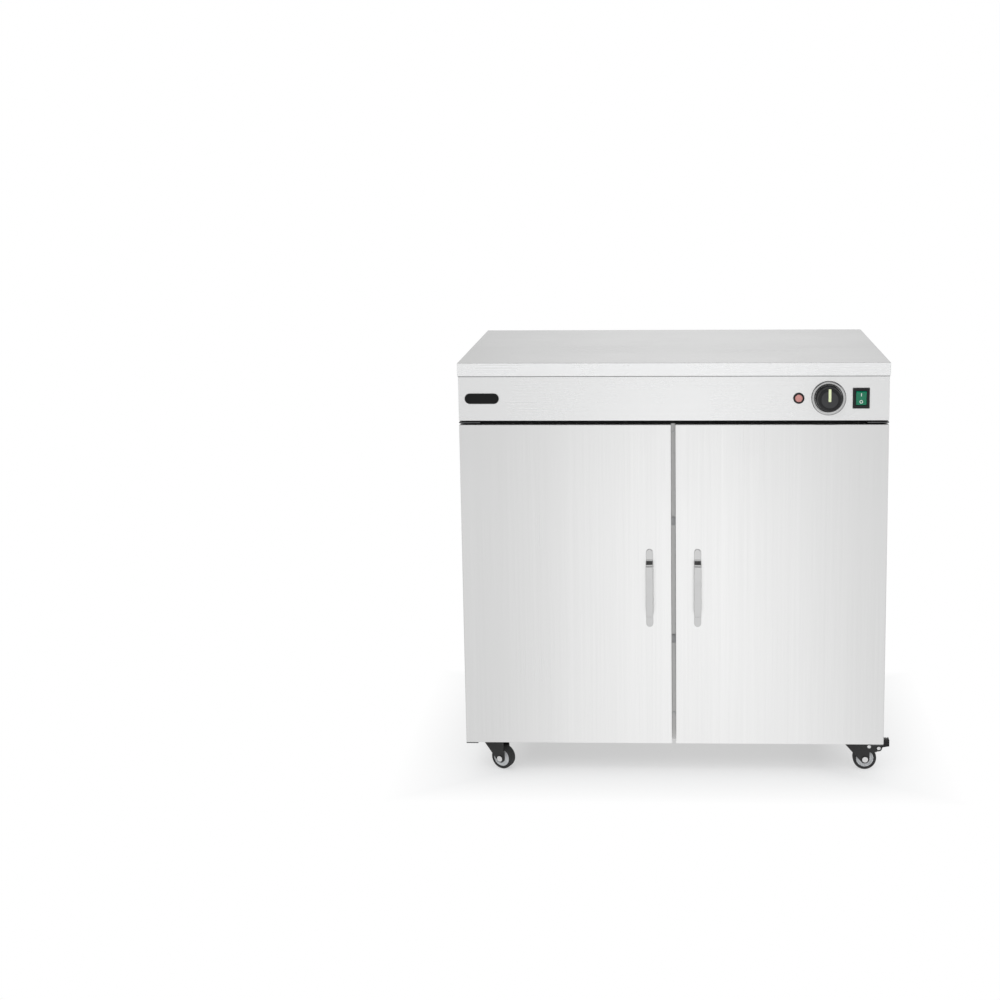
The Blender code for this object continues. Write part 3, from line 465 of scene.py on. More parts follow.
@dataclass(frozen=True)
class Plated(Finish):
    """Zinc-plated steel: small crystals in slightly different greys."""

    metallic: float = 1.0
    crystals: float = 260.0
    crystal_share: float = 0.35
    clouds: float = 38.0
    shades: tuple[float, float] = (0.86, 1.10)
    swing: tuple[float, float] = (-0.06, 0.10)
    pits: float = 900.0
    relief_strength: float = 0.10
    relief_depth: float = 0.05 * MM

    def dress(self, graph: Graph, shader: bpy.types.Node, place: bpy.types.NodeSocket) -> None:
        """Put the crystals in the colour and the roughness.

        Args:
            graph: The material's graph.
            shader: Its Principled BSDF.
            place: The object's own coordinates.
        """
        cells = graph.add("ShaderNodeTexVoronoi", Vector=place, Scale=self.crystals)
        crystal = graph.add("ShaderNodeSeparateColor", Color=cells.outputs["Color"]).outputs[0]
        cloud = graph.noise(place, self.clouds, 4.0)
        tone = graph.math("ADD", graph.math("MULTIPLY", crystal, self.crystal_share),
                          graph.math("MULTIPLY", cloud, 1.0 - self.crystal_share))
        dark, light = (self.shade(factor) for factor in self.shades)
        graph.put(shader.inputs["Base Color"],
                  graph.blend(graph.spread(tone, 0.0, 1.0), dark, light))
        smooth, rough = (self.roughness + change for change in self.swing)
        graph.put(shader.inputs["Roughness"], graph.spread(cloud, smooth, rough))
        self.relief(graph, shader, graph.noise(place, self.pits), self.relief_strength,
                    self.relief_depth)


@dataclass(frozen=True)
class Moulded(Finish):
    """Plastic, rubber or paint with a fine stipple."""

    stipple: float = 1500.0
    depth: float = 0.06 * MM
    cloudiness: float = 0.10
    coat: float = 0.0
    coat_roughness: float = 0.06
    gleam: float = 0.5
    swing: float = 0.05
    relief_strength: float = 0.22

    def dress(self, graph: Graph, shader: bpy.types.Node, place: bpy.types.NodeSocket) -> None:
        """Put the stipple in the relief, and the cloud in the colour and roughness.

        Args:
            graph: The material's graph.
            shader: Its Principled BSDF.
            place: The object's own coordinates.
        """
        grain = graph.add("ShaderNodeGroup", {"node_tree": moulded_grain()}, Vector=place,
                          Stipple=self.stipple)
        tone = grain.outputs["Tone"]
        graph.put(shader.inputs["Base Color"],
                  graph.blend(tone, self.shade(1.0 - self.cloudiness),
                              self.shade(1.0 + self.cloudiness)))
        graph.put(shader.inputs["Roughness"],
                  graph.spread(tone, self.roughness - self.swing, self.roughness + self.swing,
                               0.0, 1.0))
        shader.inputs["Specular IOR Level"].default_value = self.gleam
        shader.inputs["Coat Weight"].default_value = self.coat
        shader.inputs["Coat Roughness"].default_value = self.coat_roughness
        self.relief(graph, shader, grain.outputs["Height"], self.relief_strength, self.depth)


@dataclass(frozen=True)
class Tinted(Finish):
    """Clear coloured plastic over a lamp: deeper in the middle, paler at grazing angles as a
    painted sheen.
    """

    # pale and edge set the painted sheen: the colour it pales to at grazing angles, and how soon.
    pale: Colour = (1.0, 1.0, 1.0)
    edge: float = 0.35
    pattern: float = 220.0
    pattern_share: float = 0.18
    swing: float = 0.06
    coat: float = 0.7
    coat_roughness: float = 0.04
    relief_strength: float = 0.10
    relief_depth: float = 0.3 * MM

    def dress(self, graph: Graph, shader: bpy.types.Node, place: bpy.types.NodeSocket) -> None:
        """Mix the two tones by the angle of view, a painted sheen, with a moulded lens pattern
        under a coat.

        Args:
            graph: The material's graph.
            shader: Its Principled BSDF.
            place: The object's own coordinates.
        """
        # Painted sheen: the colour pales towards the pale tone as the view grazes the surface.
        edge = graph.add("ShaderNodeLayerWeight", Blend=self.edge).outputs["Facing"]
        cloud = graph.noise(place, self.pattern)
        share = graph.math("ADD", edge, graph.math("MULTIPLY", cloud, self.pattern_share))
        graph.put(shader.inputs["Base Color"],
                  graph.blend(share, self.shade(1.0), (*self.pale, 1.0)))
        graph.put(shader.inputs["Roughness"],
                  graph.spread(cloud, self.roughness, self.roughness + self.swing))
        shader.inputs["Coat Weight"].default_value = self.coat
        shader.inputs["Coat Roughness"].default_value = self.coat_roughness
        self.relief(graph, shader, cloud, self.relief_strength, self.relief_depth)


@dataclass(frozen=True)
class Heated(Finish):
    """Steel tube darkened by heat, with straw bands of temper colour."""

    metallic: float = 0.85
    straw: Colour = (0.26, 0.17, 0.10)
    bands: float = 14.0
    specks: float = 420.0
    speck_shade: float = 0.55
    burnt_roughness: float = 0.75
    relief_strength: float = 0.20
    relief_depth: float = 0.1 * MM

    def dress(self, graph: Graph, shader: bpy.types.Node, place: bpy.types.NodeSocket) -> None:
        """Put slow bands of temper colour over the sheath.

        Args:
            graph: The material's graph.
            shader: Its Principled BSDF.
            place: The object's own coordinates.
        """
        band = graph.noise(place, self.bands, 3.0)
        warm = graph.blend(graph.spread(band, 0.0, 1.0), self.shade(1.0), (*self.straw, 1.0))
        speck = graph.noise(place, self.specks)
        graph.put(shader.inputs["Base Color"],
                  graph.blend(graph.spread(speck, 0.0, 0.5), warm,
                              self.shade(self.speck_shade)))
        graph.put(shader.inputs["Roughness"],
                  graph.spread(speck, self.roughness, self.burnt_roughness))
        self.relief(graph, shader, speck, self.relief_strength, self.relief_depth)


class Look:
    """Every finish on the cabinet."""

    # The outer steel is one steel, copied at different base colours: the doors and fascia carry
    # its plain tone, the other copies paint light and shade onto it.
    FRONT = Brushed("steel_brushed_upright", "outer_steel", (0.965, 0.965, 0.962), 0.24,
                    fine=1300.0, contrast=0.022, swing=0.02)
    # Painted shade: the side sheets are the same steel, given a darker colour.
    SIDE = Brushed("steel_brushed_side", "outer_steel", (0.82, 0.82, 0.815), 0.30, fine=1300.0,
                   contrast=0.03, swing=0.025)
    # Painted shade: the worktop's top is the same steel, given a darker colour.
    TOP_SHADED = Brushed("steel_brushed_lengthwise", "outer_steel", (0.89, 0.89, 0.887), 0.25,
                  belt=Belt.ALONG_X, fine=1300.0, contrast=0.02, swing=0.015)
    # Painted highlight: the worktop's lip faces get the brightest copy of the steel.
    LIP = Brushed("steel_worktop_lip", "outer_steel", (0.985, 0.985, 0.982), 0.27, 0.55,
                  belt=Belt.ALONG_X, fine=1300.0, contrast=0.012, swing=0.012)
    # Painted shade: the worktop's end faces get a darker copy of the steel.
    LIP_END_SHADED = Brushed("steel_worktop_end", "outer_steel", (0.93, 0.93, 0.925), 0.28, 0.75,
                      belt=Belt.ALONG_Y, fine=1300.0, contrast=0.02, swing=0.015)
    FASCIA = Brushed("steel_fascia", "outer_steel", (0.975, 0.975, 0.972), 0.26, 0.80,
                     belt=Belt.ALONG_X, fine=1300.0, contrast=0.012, swing=0.012)
    INNER = Brushed("steel_door_inner", "outer_steel", (0.78, 0.78, 0.775), 0.32, 0.85,
                    contrast=0.05)
    # Painted shade: the posts, lintel and base pan are the same steel, given a much darker
    # colour.
    FRAME_SHADED = Brushed("steel_frame", "outer_steel", (0.62, 0.62, 0.615), 0.40, contrast=0.08)
    LINER = Brushed("steel_liner", "liner_steel", (0.72, 0.72, 0.71), 0.28, 0.90,
                    belt=Belt.ALONG_X, fine=900.0, broad=24.0, contrast=0.045)
    LINER_SIDE = Brushed("steel_liner_side", "liner_steel", (0.72, 0.72, 0.71), 0.22, 0.90,
                         belt=Belt.ALONG_Y, fine=900.0, broad=24.0, contrast=0.045)
    SHELF = Brushed("steel_shelf", "liner_steel", (0.72, 0.72, 0.71), 0.30, belt=Belt.ALONG_X,
                    fine=900.0, contrast=0.05)
    BRIGHT = Polished("steel_polished", "polished_steel", (0.64, 0.64, 0.64), 0.13)
    CHROME = Polished("chrome_trim", "polished_steel", (0.66, 0.66, 0.66), 0.12)
    # Painted shade: zinc plate given a near-black colour, for the shade in the door gaps where
    # the plates show.
    HINGE_SHADED = Plated("hinge_plate", "zinc_plate", (0.13, 0.132, 0.135), 0.40)
    ZINC = Plated("zinc_plate", "zinc_plate", (0.58, 0.59, 0.60), 0.34)
    STUD = Polished("axle_steel", "zinc_plate", (0.86, 0.86, 0.86), 0.20)
    # Painted shade: light nickel magnet faces given a dark grey, for the shade in the gap between
    # the doors.
    MAGNET_SHADED = Plated("magnet_face", "zinc_plate", (0.40, 0.405, 0.41), 0.38)
    PLASTIC = Moulded("black_moulding", "black_plastic", (0.010, 0.010, 0.011), 0.34,
                      coat=0.04, gleam=0.32)
    ENAMEL = Moulded("badge_enamel", "black_plastic", (0.006, 0.006, 0.006), 0.48, gleam=0.22)
    KNOB = Moulded("black_knob", "black_plastic", (0.012, 0.012, 0.013), 0.36, coat=0.04,
                   gleam=0.36)
    KNOB_CAP = Moulded("knob_cap", "black_plastic", (0.034, 0.034, 0.036), 0.48, stipple=2400.0)
    PAINT = Moulded("black_caster_paint", "black_caster_paint", (0.010, 0.010, 0.0105), 0.36,
                    stipple=900.0, coat=0.03, gleam=0.28)
    RUBBER = Moulded("tyre_rubber", "tyre_rubber", (0.014, 0.014, 0.0145), 0.62, stipple=700.0,
                     depth=0.12 * MM, cloudiness=0.22, gleam=0.28)
    HUB = Moulded("wheel_hub", "tyre_rubber", (0.74, 0.75, 0.76), 0.36)
    # The rocker and the lens pale towards their second colour at grazing angles: a painted sheen.
    GREEN = Tinted("green_rocker", "green_plastic", (0.0, 0.15, 0.07), 0.16,
                   pale=(0.005, 0.38, 0.21), coat=0.15)
    LENS = Tinted("red_lens", "red_lens", (0.42, 0.10, 0.09), 0.10, pale=(0.86, 0.58, 0.54))
    MARK = Moulded("white_print", "black_plastic", (0.86, 0.86, 0.84), 0.5)
    POINTER = Moulded("pointer_print", "black_plastic", (0.78, 0.84, 0.52), 0.45)
    TICK = Moulded("dark_print", "black_plastic", (0.10, 0.10, 0.10), 0.5)
    SHEATH = Heated("heated_sheath", "element_sheath", (0.12, 0.115, 0.11), 0.42)
    # A door seal, black also as painted shade for the slit between the doors.
    SEAL_AND_SHADE = Moulded("black_seal", "black_plastic", (0.012, 0.012, 0.012), 0.75, stipple=900.0)
    # Painted shadow: a grey bead for the dark line under the worktop's lip.
    JOINT_SHADOW_LINE = Moulded("grey_sealant", "black_plastic", (0.16, 0.16, 0.16), 0.55)
    GLAND = Moulded("gland_nylon", "black_plastic", (0.030, 0.030, 0.031), 0.46)


# ---------------------------------------------------------------- shapes


def link(name: str, mesh: bpy.types.Mesh, finish: Finish | None = None) -> bpy.types.Object:
    """Make an object from a mesh.

    Args:
        name: The name of both.
        mesh: The mesh.
        finish: Its finish, or none for a helper.

    Returns:
        The object, in the scene.
    """
    made = bpy.data.objects.new(name, mesh)
    mesh.name = name
    bpy.context.scene.collection.objects.link(made)
    if finish:
        mesh.materials.clear()
        mesh.materials.append(finish.material())
    return made


def from_bmesh(name: str, shape: bmesh.types.BMesh,
               finish: Finish | None = None) -> bpy.types.Object:
    """Turn a bmesh into an object, smooth apart from its sharp edges.

    Args:
        name: The object's name.
        shape: The bmesh, which is used up.
        finish: Its finish, or none for a helper.

    Returns:
        The object.
    """
    mesh = bpy.data.meshes.new(name)
    for face in shape.faces:
        face.smooth = True
    shape.to_mesh(mesh)
    shape.free()
    mesh.set_sharp_from_angle(angle=SMOOTH_ANGLE)
    return link(name, mesh, finish)


def evaluated(thing: bpy.types.Object) -> bpy.types.Mesh:
    """Make a plain mesh of an object with its modifiers applied.

    Args:
        thing: The object.

    Returns:
        The mesh, on its own.
    """
    bpy.context.view_layer.update()
    graph = bpy.context.evaluated_depsgraph_get()
    return bpy.data.meshes.new_from_object(thing.evaluated_get(graph), depsgraph=graph)


def discard(*things: bpy.types.Object) -> None:
    """Remove helper objects.

    Args:
        *things: The helpers.
    """
    for thing in things:
        bpy.data.objects.remove(thing, do_unlink=True)


def firm(thing: bpy.types.Object) -> bpy.types.Object:
    """Give a piece normals that follow its large faces.

    Args:
        thing: The piece.

    Returns:
        The piece.
    """
    modifier = thing.modifiers.new("flat_faces", "WEIGHTED_NORMAL")
    modifier.weight, modifier.keep_sharp = 100, True
    mesh, old = evaluated(thing), thing.data
    thing.modifiers.clear()
    thing.data = mesh
    bpy.data.meshes.remove(old)
    mesh.name = thing.name
    return thing


def node_shape(node: str) -> bmesh.types.BMesh:
    """Copy a frame node, merged, with its flat areas made single faces.

    Args:
        node: The frame node.

    Returns:
        The copy.
    """
    shape = bmesh.new()
    shape.from_mesh(bpy.data.objects[node].data)
    bmesh.ops.remove_doubles(shape, verts=shape.verts, dist=MERGE)
    bmesh.ops.dissolve_limit(shape, angle_limit=FLAT_ANGLE, verts=shape.verts, edges=shape.edges,
                             delimit={"NORMAL"})
    return shape


def soften(shape: bmesh.types.BMesh, width: float, segments: int = 2) -> None:
    """Round every corner edge of a bmesh.

    Args:
        shape: The bmesh.
        width: The radius.
        segments: Steps in it.
    """
    sharp = [edge for edge in shape.edges
             if len(edge.link_faces) == 2 and edge.calc_face_angle(0.0) > CORNER_ANGLE]
    bmesh.ops.bevel(shape, geom=sharp, offset=width, offset_type="OFFSET", segments=segments,
                    profile=0.5, affect="EDGES", clamp_overlap=True)


def turned(profile: Outline, segments: int,
           centre: Point = (0.0, 0.0, 0.0), axis: Point = (0.0, 0.0, 1.0)) -> bmesh.types.BMesh:
    """Spin a profile round an axis.

    Args:
        profile: Radius and height, from the foot to the head. A radius of 0 is a pole.
        segments: Steps round the axis.
        centre: Where the height is 0.
        axis: The direction of height.

    Returns:
        The closed turned shape, facing out.
    """
    shape = bmesh.new()
    turn = Vector((0.0, 0.0, 1.0)).rotation_difference(Vector(axis)).to_matrix()
    rings = []
    for radius, height in profile:
        steps = 1 if radius < MERGE else segments
        rings.append([shape.verts.new(turn @ Vector((radius * math.cos(math.tau * i / segments),
                                                     radius * math.sin(math.tau * i / segments),
                                                     height)) + Vector(centre))
                      for i in range(steps)])
    closed = len(rings[0]) > 1 and len(rings[-1]) > 1
    for low, high in zip(rings, rings[1:] + (rings[:1] if closed else [])):
        if len(low) == 1 and len(high) == 1:
            continue
        for i in range(segments):
            j = (i + 1) % segments
            corners = [low[i % len(low)], low[j % len(low)], high[j % len(high)],
                       high[i % len(high)]]
            shape.faces.new(list(dict.fromkeys(corners)))
    bmesh.ops.recalc_face_normals(shape, faces=shape.faces)
    return shape


def extruded(outline: Outline, depth: float, place: Matrix,
             rim: float = 0.0) -> bmesh.types.BMesh:
    """Raise a flat outline into a block with rounded rims.

    Args:
        outline: Corners in the plane, in order.
        depth: How far it rises along the plane's normal.
        place: Where the plane is.
        rim: The radius of its head's edges, or 0.

    Returns:
        The closed block, facing out.
    """
    shape = bmesh.new()
    foot = [shape.verts.new((x, y, 0.0)) for x, y in outline]
    head = [shape.verts.new((x, y, depth)) for x, y in outline]
    shape.faces.new(foot[::-1])
    shape.faces.new(head)
    for i in range(len(foot)):
        j = (i + 1) % len(foot)
        shape.faces.new((foot[i], foot[j], head[j], head[i]))
    bmesh.ops.recalc_face_normals(shape, faces=shape.faces)
    if rim:
        rims = [edge for edge in shape.edges
                if all(corner.co.z > depth / 2 for corner in edge.verts)]
        bmesh.ops.bevel(shape, geom=rims, offset=rim, offset_type="OFFSET", segments=2,
                        profile=0.5, affect="EDGES", clamp_overlap=True)
    shape.transform(place)
    return shape


def rounded(width: float, height: float, radius: float,
            steps: int = 6) -> list[tuple[float, float]]:
    """Draw a rectangle with rounded corners, centred on 0, 0.

    Args:
        width: Its size along X.
        height: Its size along Y.
        radius: The radius of its corners.
        steps: Steps in each corner.

    Returns:
        The outline.
    """
    corners = []
    for quarter, (sx, sy) in enumerate(((1, 1), (-1, 1), (-1, -1), (1, -1))):
        for step in range(steps + 1):
            angle = math.pi / 2 * (quarter + step / steps)
            corners.append((sx * (width / 2 - radius) + radius * math.cos(angle),
                            sy * (height / 2 - radius) + radius * math.sin(angle)))
    return corners


def circle(radius: float, steps: int = 24) -> list[tuple[float, float]]:
    """Return the outline of a circle, centred on 0, 0, with a number of steps."""
    return [(radius * math.cos(math.tau * i / steps), radius * math.sin(math.tau * i / steps))
            for i in range(steps)]


def facing(centre: Point, normal: Point, up: Point = (0.0, 0.0, 1.0)) -> Matrix:
    """Stand a plane at a point.

    Args:
        centre: The plane's origin.
        normal: The direction of its Z.
        up: The direction that its Y comes nearest.

    Returns:
        The plane's matrix.
    """
    out = Vector(normal).normalized()
    side = Vector(up).cross(out).normalized()
    return Matrix.Translation(centre) @ Matrix((side, out.cross(side), out)).transposed().to_4x4()


def merged(*shapes: bmesh.types.BMesh) -> bmesh.types.BMesh:
    """Put several bmeshes into the first.

    Args:
        *shapes: The bmeshes. All but the first are used up.

    Returns:
        The first.
    """
    first = shapes[0]
    for other in shapes[1:]:
        spare = bpy.data.meshes.new("spare")
        other.to_mesh(spare)
        other.free()
        first.from_mesh(spare)
        bpy.data.meshes.remove(spare)
    return first


# ---------------------------------------------------------------- geometry node trees


def geometry_tree(name: str, inputs: dict[str, str],
                  fill: Callable[[Graph, dict], bpy.types.NodeSocket]) -> bpy.types.NodeTree:
    """Build a geometry tree that ends in Realize Instances and Set Material.

    Args:
        name: The tree's name.
        inputs: Each input's name and socket type. One is named Material.
        fill: Takes the graph and the input sockets, and returns the geometry socket.

    Returns:
        The tree, built once.
    """
    found = bpy.data.node_groups.get(name)
    if found:
        return found
    tree = bpy.data.node_groups.new(name, "GeometryNodeTree")
    tree.is_modifier = True
    graph = Graph(tree)
    tree.interface.new_socket("Geometry", in_out="INPUT", socket_type="NodeSocketGeometry")
    for title, kind in inputs.items():
        tree.interface.new_socket(title, in_out="INPUT", socket_type=kind)
    tree.interface.new_socket("Geometry", in_out="OUTPUT", socket_type="NodeSocketGeometry")
    start = graph.add("NodeGroupInput")
    made = fill(graph, {item.name: item for item in start.outputs if item.name})
    whole = graph.add("GeometryNodeRealizeInstances", Geometry=made)
    dressed = graph.add("GeometryNodeSetMaterial", Geometry=whole.outputs[0],
                        Material=next(item for item in start.outputs if item.name == "Material"))
    graph.add("NodeGroupOutput", Geometry=dressed.outputs[0])
    return tree


def fastening_tree() -> bpy.types.NodeTree:
    """Return the tree that sets one fastener at each place, turned at random about its axis."""

    def fill(graph: Graph, given: dict) -> bpy.types.NodeSocket:
        """Stand the fastener on each point, along the point's own direction.

        Args:
            graph: The group's graph.
            given: Its input sockets, by name.

        Returns:
            The geometry that it makes.
        """
        one = graph.add("GeometryNodeObjectInfo", Object=given["Fastener"])
        along = graph.add("GeometryNodeInputNamedAttribute", {"data_type": "FLOAT_VECTOR"},
                          Name="along")
        stood = graph.add("FunctionNodeAlignRotationToVector", {"axis": "Z"},
                          Vector=along.outputs[0])
        chance = graph.add("FunctionNodeRandomValue", {"data_type": "FLOAT"}, Seed=given["Seed"])
        graph.put(chance.inputs[2], 0.0)
        graph.put(chance.inputs[3], math.tau)
        spin = graph.add("ShaderNodeCombineXYZ", Z=chance.outputs[1])
        by = graph.add("FunctionNodeEulerToRotation", Euler=spin.outputs[0])
        turn = graph.add("FunctionNodeRotateRotation", {"rotation_space": "LOCAL"},
                         Rotation=stood.outputs[0], Rotate_By=by.outputs[0])
        set_in = graph.add("GeometryNodeInstanceOnPoints", Points=given["Geometry"],
                           Instance=one.outputs["Geometry"], Rotation=turn.outputs[0])
        return set_in.outputs[0]

    return geometry_tree("fastenings", {"Fastener": "NodeSocketObject", "Seed": "NodeSocketInt",
                                        "Material": "NodeSocketMaterial"}, fill)


def punching_tree() -> bpy.types.NodeTree:
    """Return the tree that punches one hole shape through a sheet at each place."""

    def fill(graph: Graph, given: dict) -> bpy.types.NodeSocket:
        """Set the punch at each point, and cut them all from the sheet at once.

        Args:
            graph: The group's graph.
            given: Its input sockets, by name.

        Returns:
            The geometry that it makes.
        """
        sheet = graph.add("GeometryNodeObjectInfo", Object=given["Sheet"])
        punch = graph.add("GeometryNodeObjectInfo", Object=given["Punch"])
        each = graph.add("GeometryNodeInstanceOnPoints", Points=given["Geometry"],
                         Instance=punch.outputs["Geometry"])
        real = graph.add("GeometryNodeRealizeInstances", Geometry=each.outputs[0])
        cut = graph.add("GeometryNodeMeshBoolean",
                        {"operation": "DIFFERENCE", "solver": "MANIFOLD"})
        graph.put(cut.inputs["Mesh 1"], sheet.outputs["Geometry"])
        graph.put(cut.inputs["Mesh 2"], real.outputs[0])
        return cut.outputs[0]

    return geometry_tree("punched_holes",
                         {"Sheet": "NodeSocketObject", "Punch": "NodeSocketObject",
                          "Material": "NodeSocketMaterial"}, fill)


def run_tree(name: str, places: Sequence[Point], tree: bpy.types.NodeTree,
             inputs: dict[str, object], along: Sequence[Point] = ()) -> bpy.types.Mesh:
    """Run a geometry tree over a set of points.

    Args:
        name: The name of the mesh.
        places: The points.
        tree: The tree.
        inputs: Its inputs, by name.
        along: A direction for each point, or nothing.

    Returns:
        The plain mesh that the tree makes.
    """
    points = bpy.data.meshes.new(name)
    points.from_pydata([tuple(place) for place in places], [], [])
    if along:
        stored = points.attributes.new("along", "FLOAT_VECTOR", "POINT")
        stored.data.foreach_set("vector", np.array(along, np.float32).ravel())
    holder = link(name, points)
    modifier = holder.modifiers.new("tree", "NODES")
    modifier.node_group = tree
    for item in tree.interface.items_tree:
        if item.item_type == "SOCKET" and item.in_out == "INPUT" and item.name in inputs:
            modifier[item.identifier] = inputs[item.name]
    made = evaluated(holder)
    holder.modifiers.clear()
    discard(holder)
    if "along" in made.attributes:
        made.attributes.remove(made.attributes["along"])
    return made


def punched(name: str, shape: bmesh.types.BMesh, outline: Outline, depth: float,
            plane: Matrix, places: Sequence[Point], finish: Finish) -> bpy.types.Object:
    """Punch one outline through a sheet at many places.

    Args:
        name: The new piece's name.
        shape: The closed sheet.
        outline: The hole's outline.
        depth: The punch's length, centred on the plane.
        plane: The plane that the punch stands on, at the origin.
        places: The holes' centres.
        finish: The sheet's finish.

    Returns:
        The punched sheet.
    """
    sheet = from_bmesh(name + "_blank", shape)
    punch = from_bmesh(name + "_punch", extruded(outline, depth,
                                                 plane @ Matrix.Translation((0, 0, -depth / 2))))
    mesh = run_tree(name, places, punching_tree(),
                    {"Sheet": sheet, "Punch": punch, "Material": finish.material()})
    discard(sheet, punch)
    mesh.set_sharp_from_angle(angle=SMOOTH_ANGLE)
    return link(name, mesh, finish)


# ---------------------------------------------------------------- placing pieces


def mount(piece: bpy.types.Object, body: str, finish: Finish, *nodes: str) -> bpy.types.Object:
    """Hand a finished piece to its body.

    Args:
        piece: The piece.
        body: The body that it moves with.
        finish: Its finish. Not used.
        *nodes: The frame nodes that it stands for.

    Returns:
        The piece.
    """
    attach(piece, body)
    if nodes:
        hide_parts(*nodes)
    LOG.info("%s on %s, %d faces", piece.name, body, len(piece.data.polygons))
    return piece


def fit(name: str, shape: bmesh.types.BMesh, body: str, finish: Finish,
        *nodes: str) -> bpy.types.Object:
    """Turn a bmesh into a piece, and hand it to its body.

    Args:
        name: The piece's name.
        shape: The bmesh, which is used up.
        body: The body that it moves with.
        finish: Its finish.
        *nodes: The frame nodes that it stands for.

    Returns:
        The piece.
    """
    return mount(from_bmesh(name, shape, finish), body, finish, *nodes)


def paint(node: str, finish: Finish) -> None:
    """Give a frame node a finish.

    Args:
        node: The frame node.
        finish: Its finish.
    """
    slots = bpy.data.objects[node].data.materials
    slots.clear()
    slots.append(finish.material())
    LOG.info("%s in %s", node, finish.name)


def recast(node: str, name: str, body: str, finish: Finish, edge: float = 0.0,
           segments: int = 2) -> bpy.types.Object:
    """Stand a smooth, softened copy in for a frame node.

    Args:
        node: The frame node.
        name: The copy's name.
        body: The body that it moves with.
        finish: Its finish.
        edge: The radius of its corner edges, or 0.
        segments: Steps in that radius.

    Returns:
        The copy.
    """
    shape = node_shape(node)
    if edge:
        soften(shape, edge, segments)
    return mount(firm(from_bmesh(name, shape, finish)), body, finish, node)


def lay_on(shape: bmesh.types.BMesh, target: bpy.types.Object, lift: float) -> None:
    """Move a thin mark's points along Y until its back lies on the front of a target.

    Args:
        shape: The mark, whose back is at its highest Y.
        target: The piece it lies on, facing -Y.
        lift: How deep the mark's back sinks into the surface.
    """
    skin = bmesh.new()
    skin.from_mesh(target.data)
    tree = BVHTree.FromBMesh(skin)
    back = max(vert.co.y for vert in shape.verts)
    for vert in shape.verts:
        hit = tree.ray_cast(Vector((vert.co.x, -1.0, vert.co.z)), Vector((0.0, 1.0, 0.0)))[0]
        if hit:
            vert.co.y += hit.y - back + lift
    skin.free()


def band(outer: Outline, inner: Outline, depth: float, place: Matrix,
         crown: float = 0.0) -> bmesh.types.BMesh:
    """Return a closed band between two outlines with the same number of corners.

    Args:
        outer: The outer outline.
        inner: The inner outline.
        depth: The band's height.
        place: The plane of its foot.
        crown: How far its middle stands above its rims.

    Returns:
        The band.
    """
    shape = bmesh.new()
    middle = [((a[0] + b[0]) / 2, (a[1] + b[1]) / 2) for a, b in zip(outer, inner)]
    rows = [(outer, 0.0), (outer, depth), (middle, depth + crown), (inner, depth), (inner, 0.0)]
    rings = [[shape.verts.new((x, y, z)) for x, y in line] for line, z in rows]
    for low, high in zip(rings, rings[1:] + rings[:1]):
        for i in range(len(low)):
            j = (i + 1) % len(low)
            shape.faces.new((low[i], low[j], high[j], high[i]))
    bmesh.ops.recalc_face_normals(shape, faces=shape.faces)
    shape.transform(place)
    return shape


# ---------------------------------------------------------------- fastenings


class Fixing(Enum):
    """The fastenings in use, each with its head's radius and height."""

    PAN_SCREW = (3.3 * MM, 1.5 * MM)
    SMALL_SCREW = (2.4 * MM, 1.1 * MM)
    RIVET = (2.5 * MM, 1.1 * MM)
    EAR_RIVET = (4.0 * MM, 1.5 * MM)
    HEX_BOLT = (3.1 * MM, 2.4 * MM)


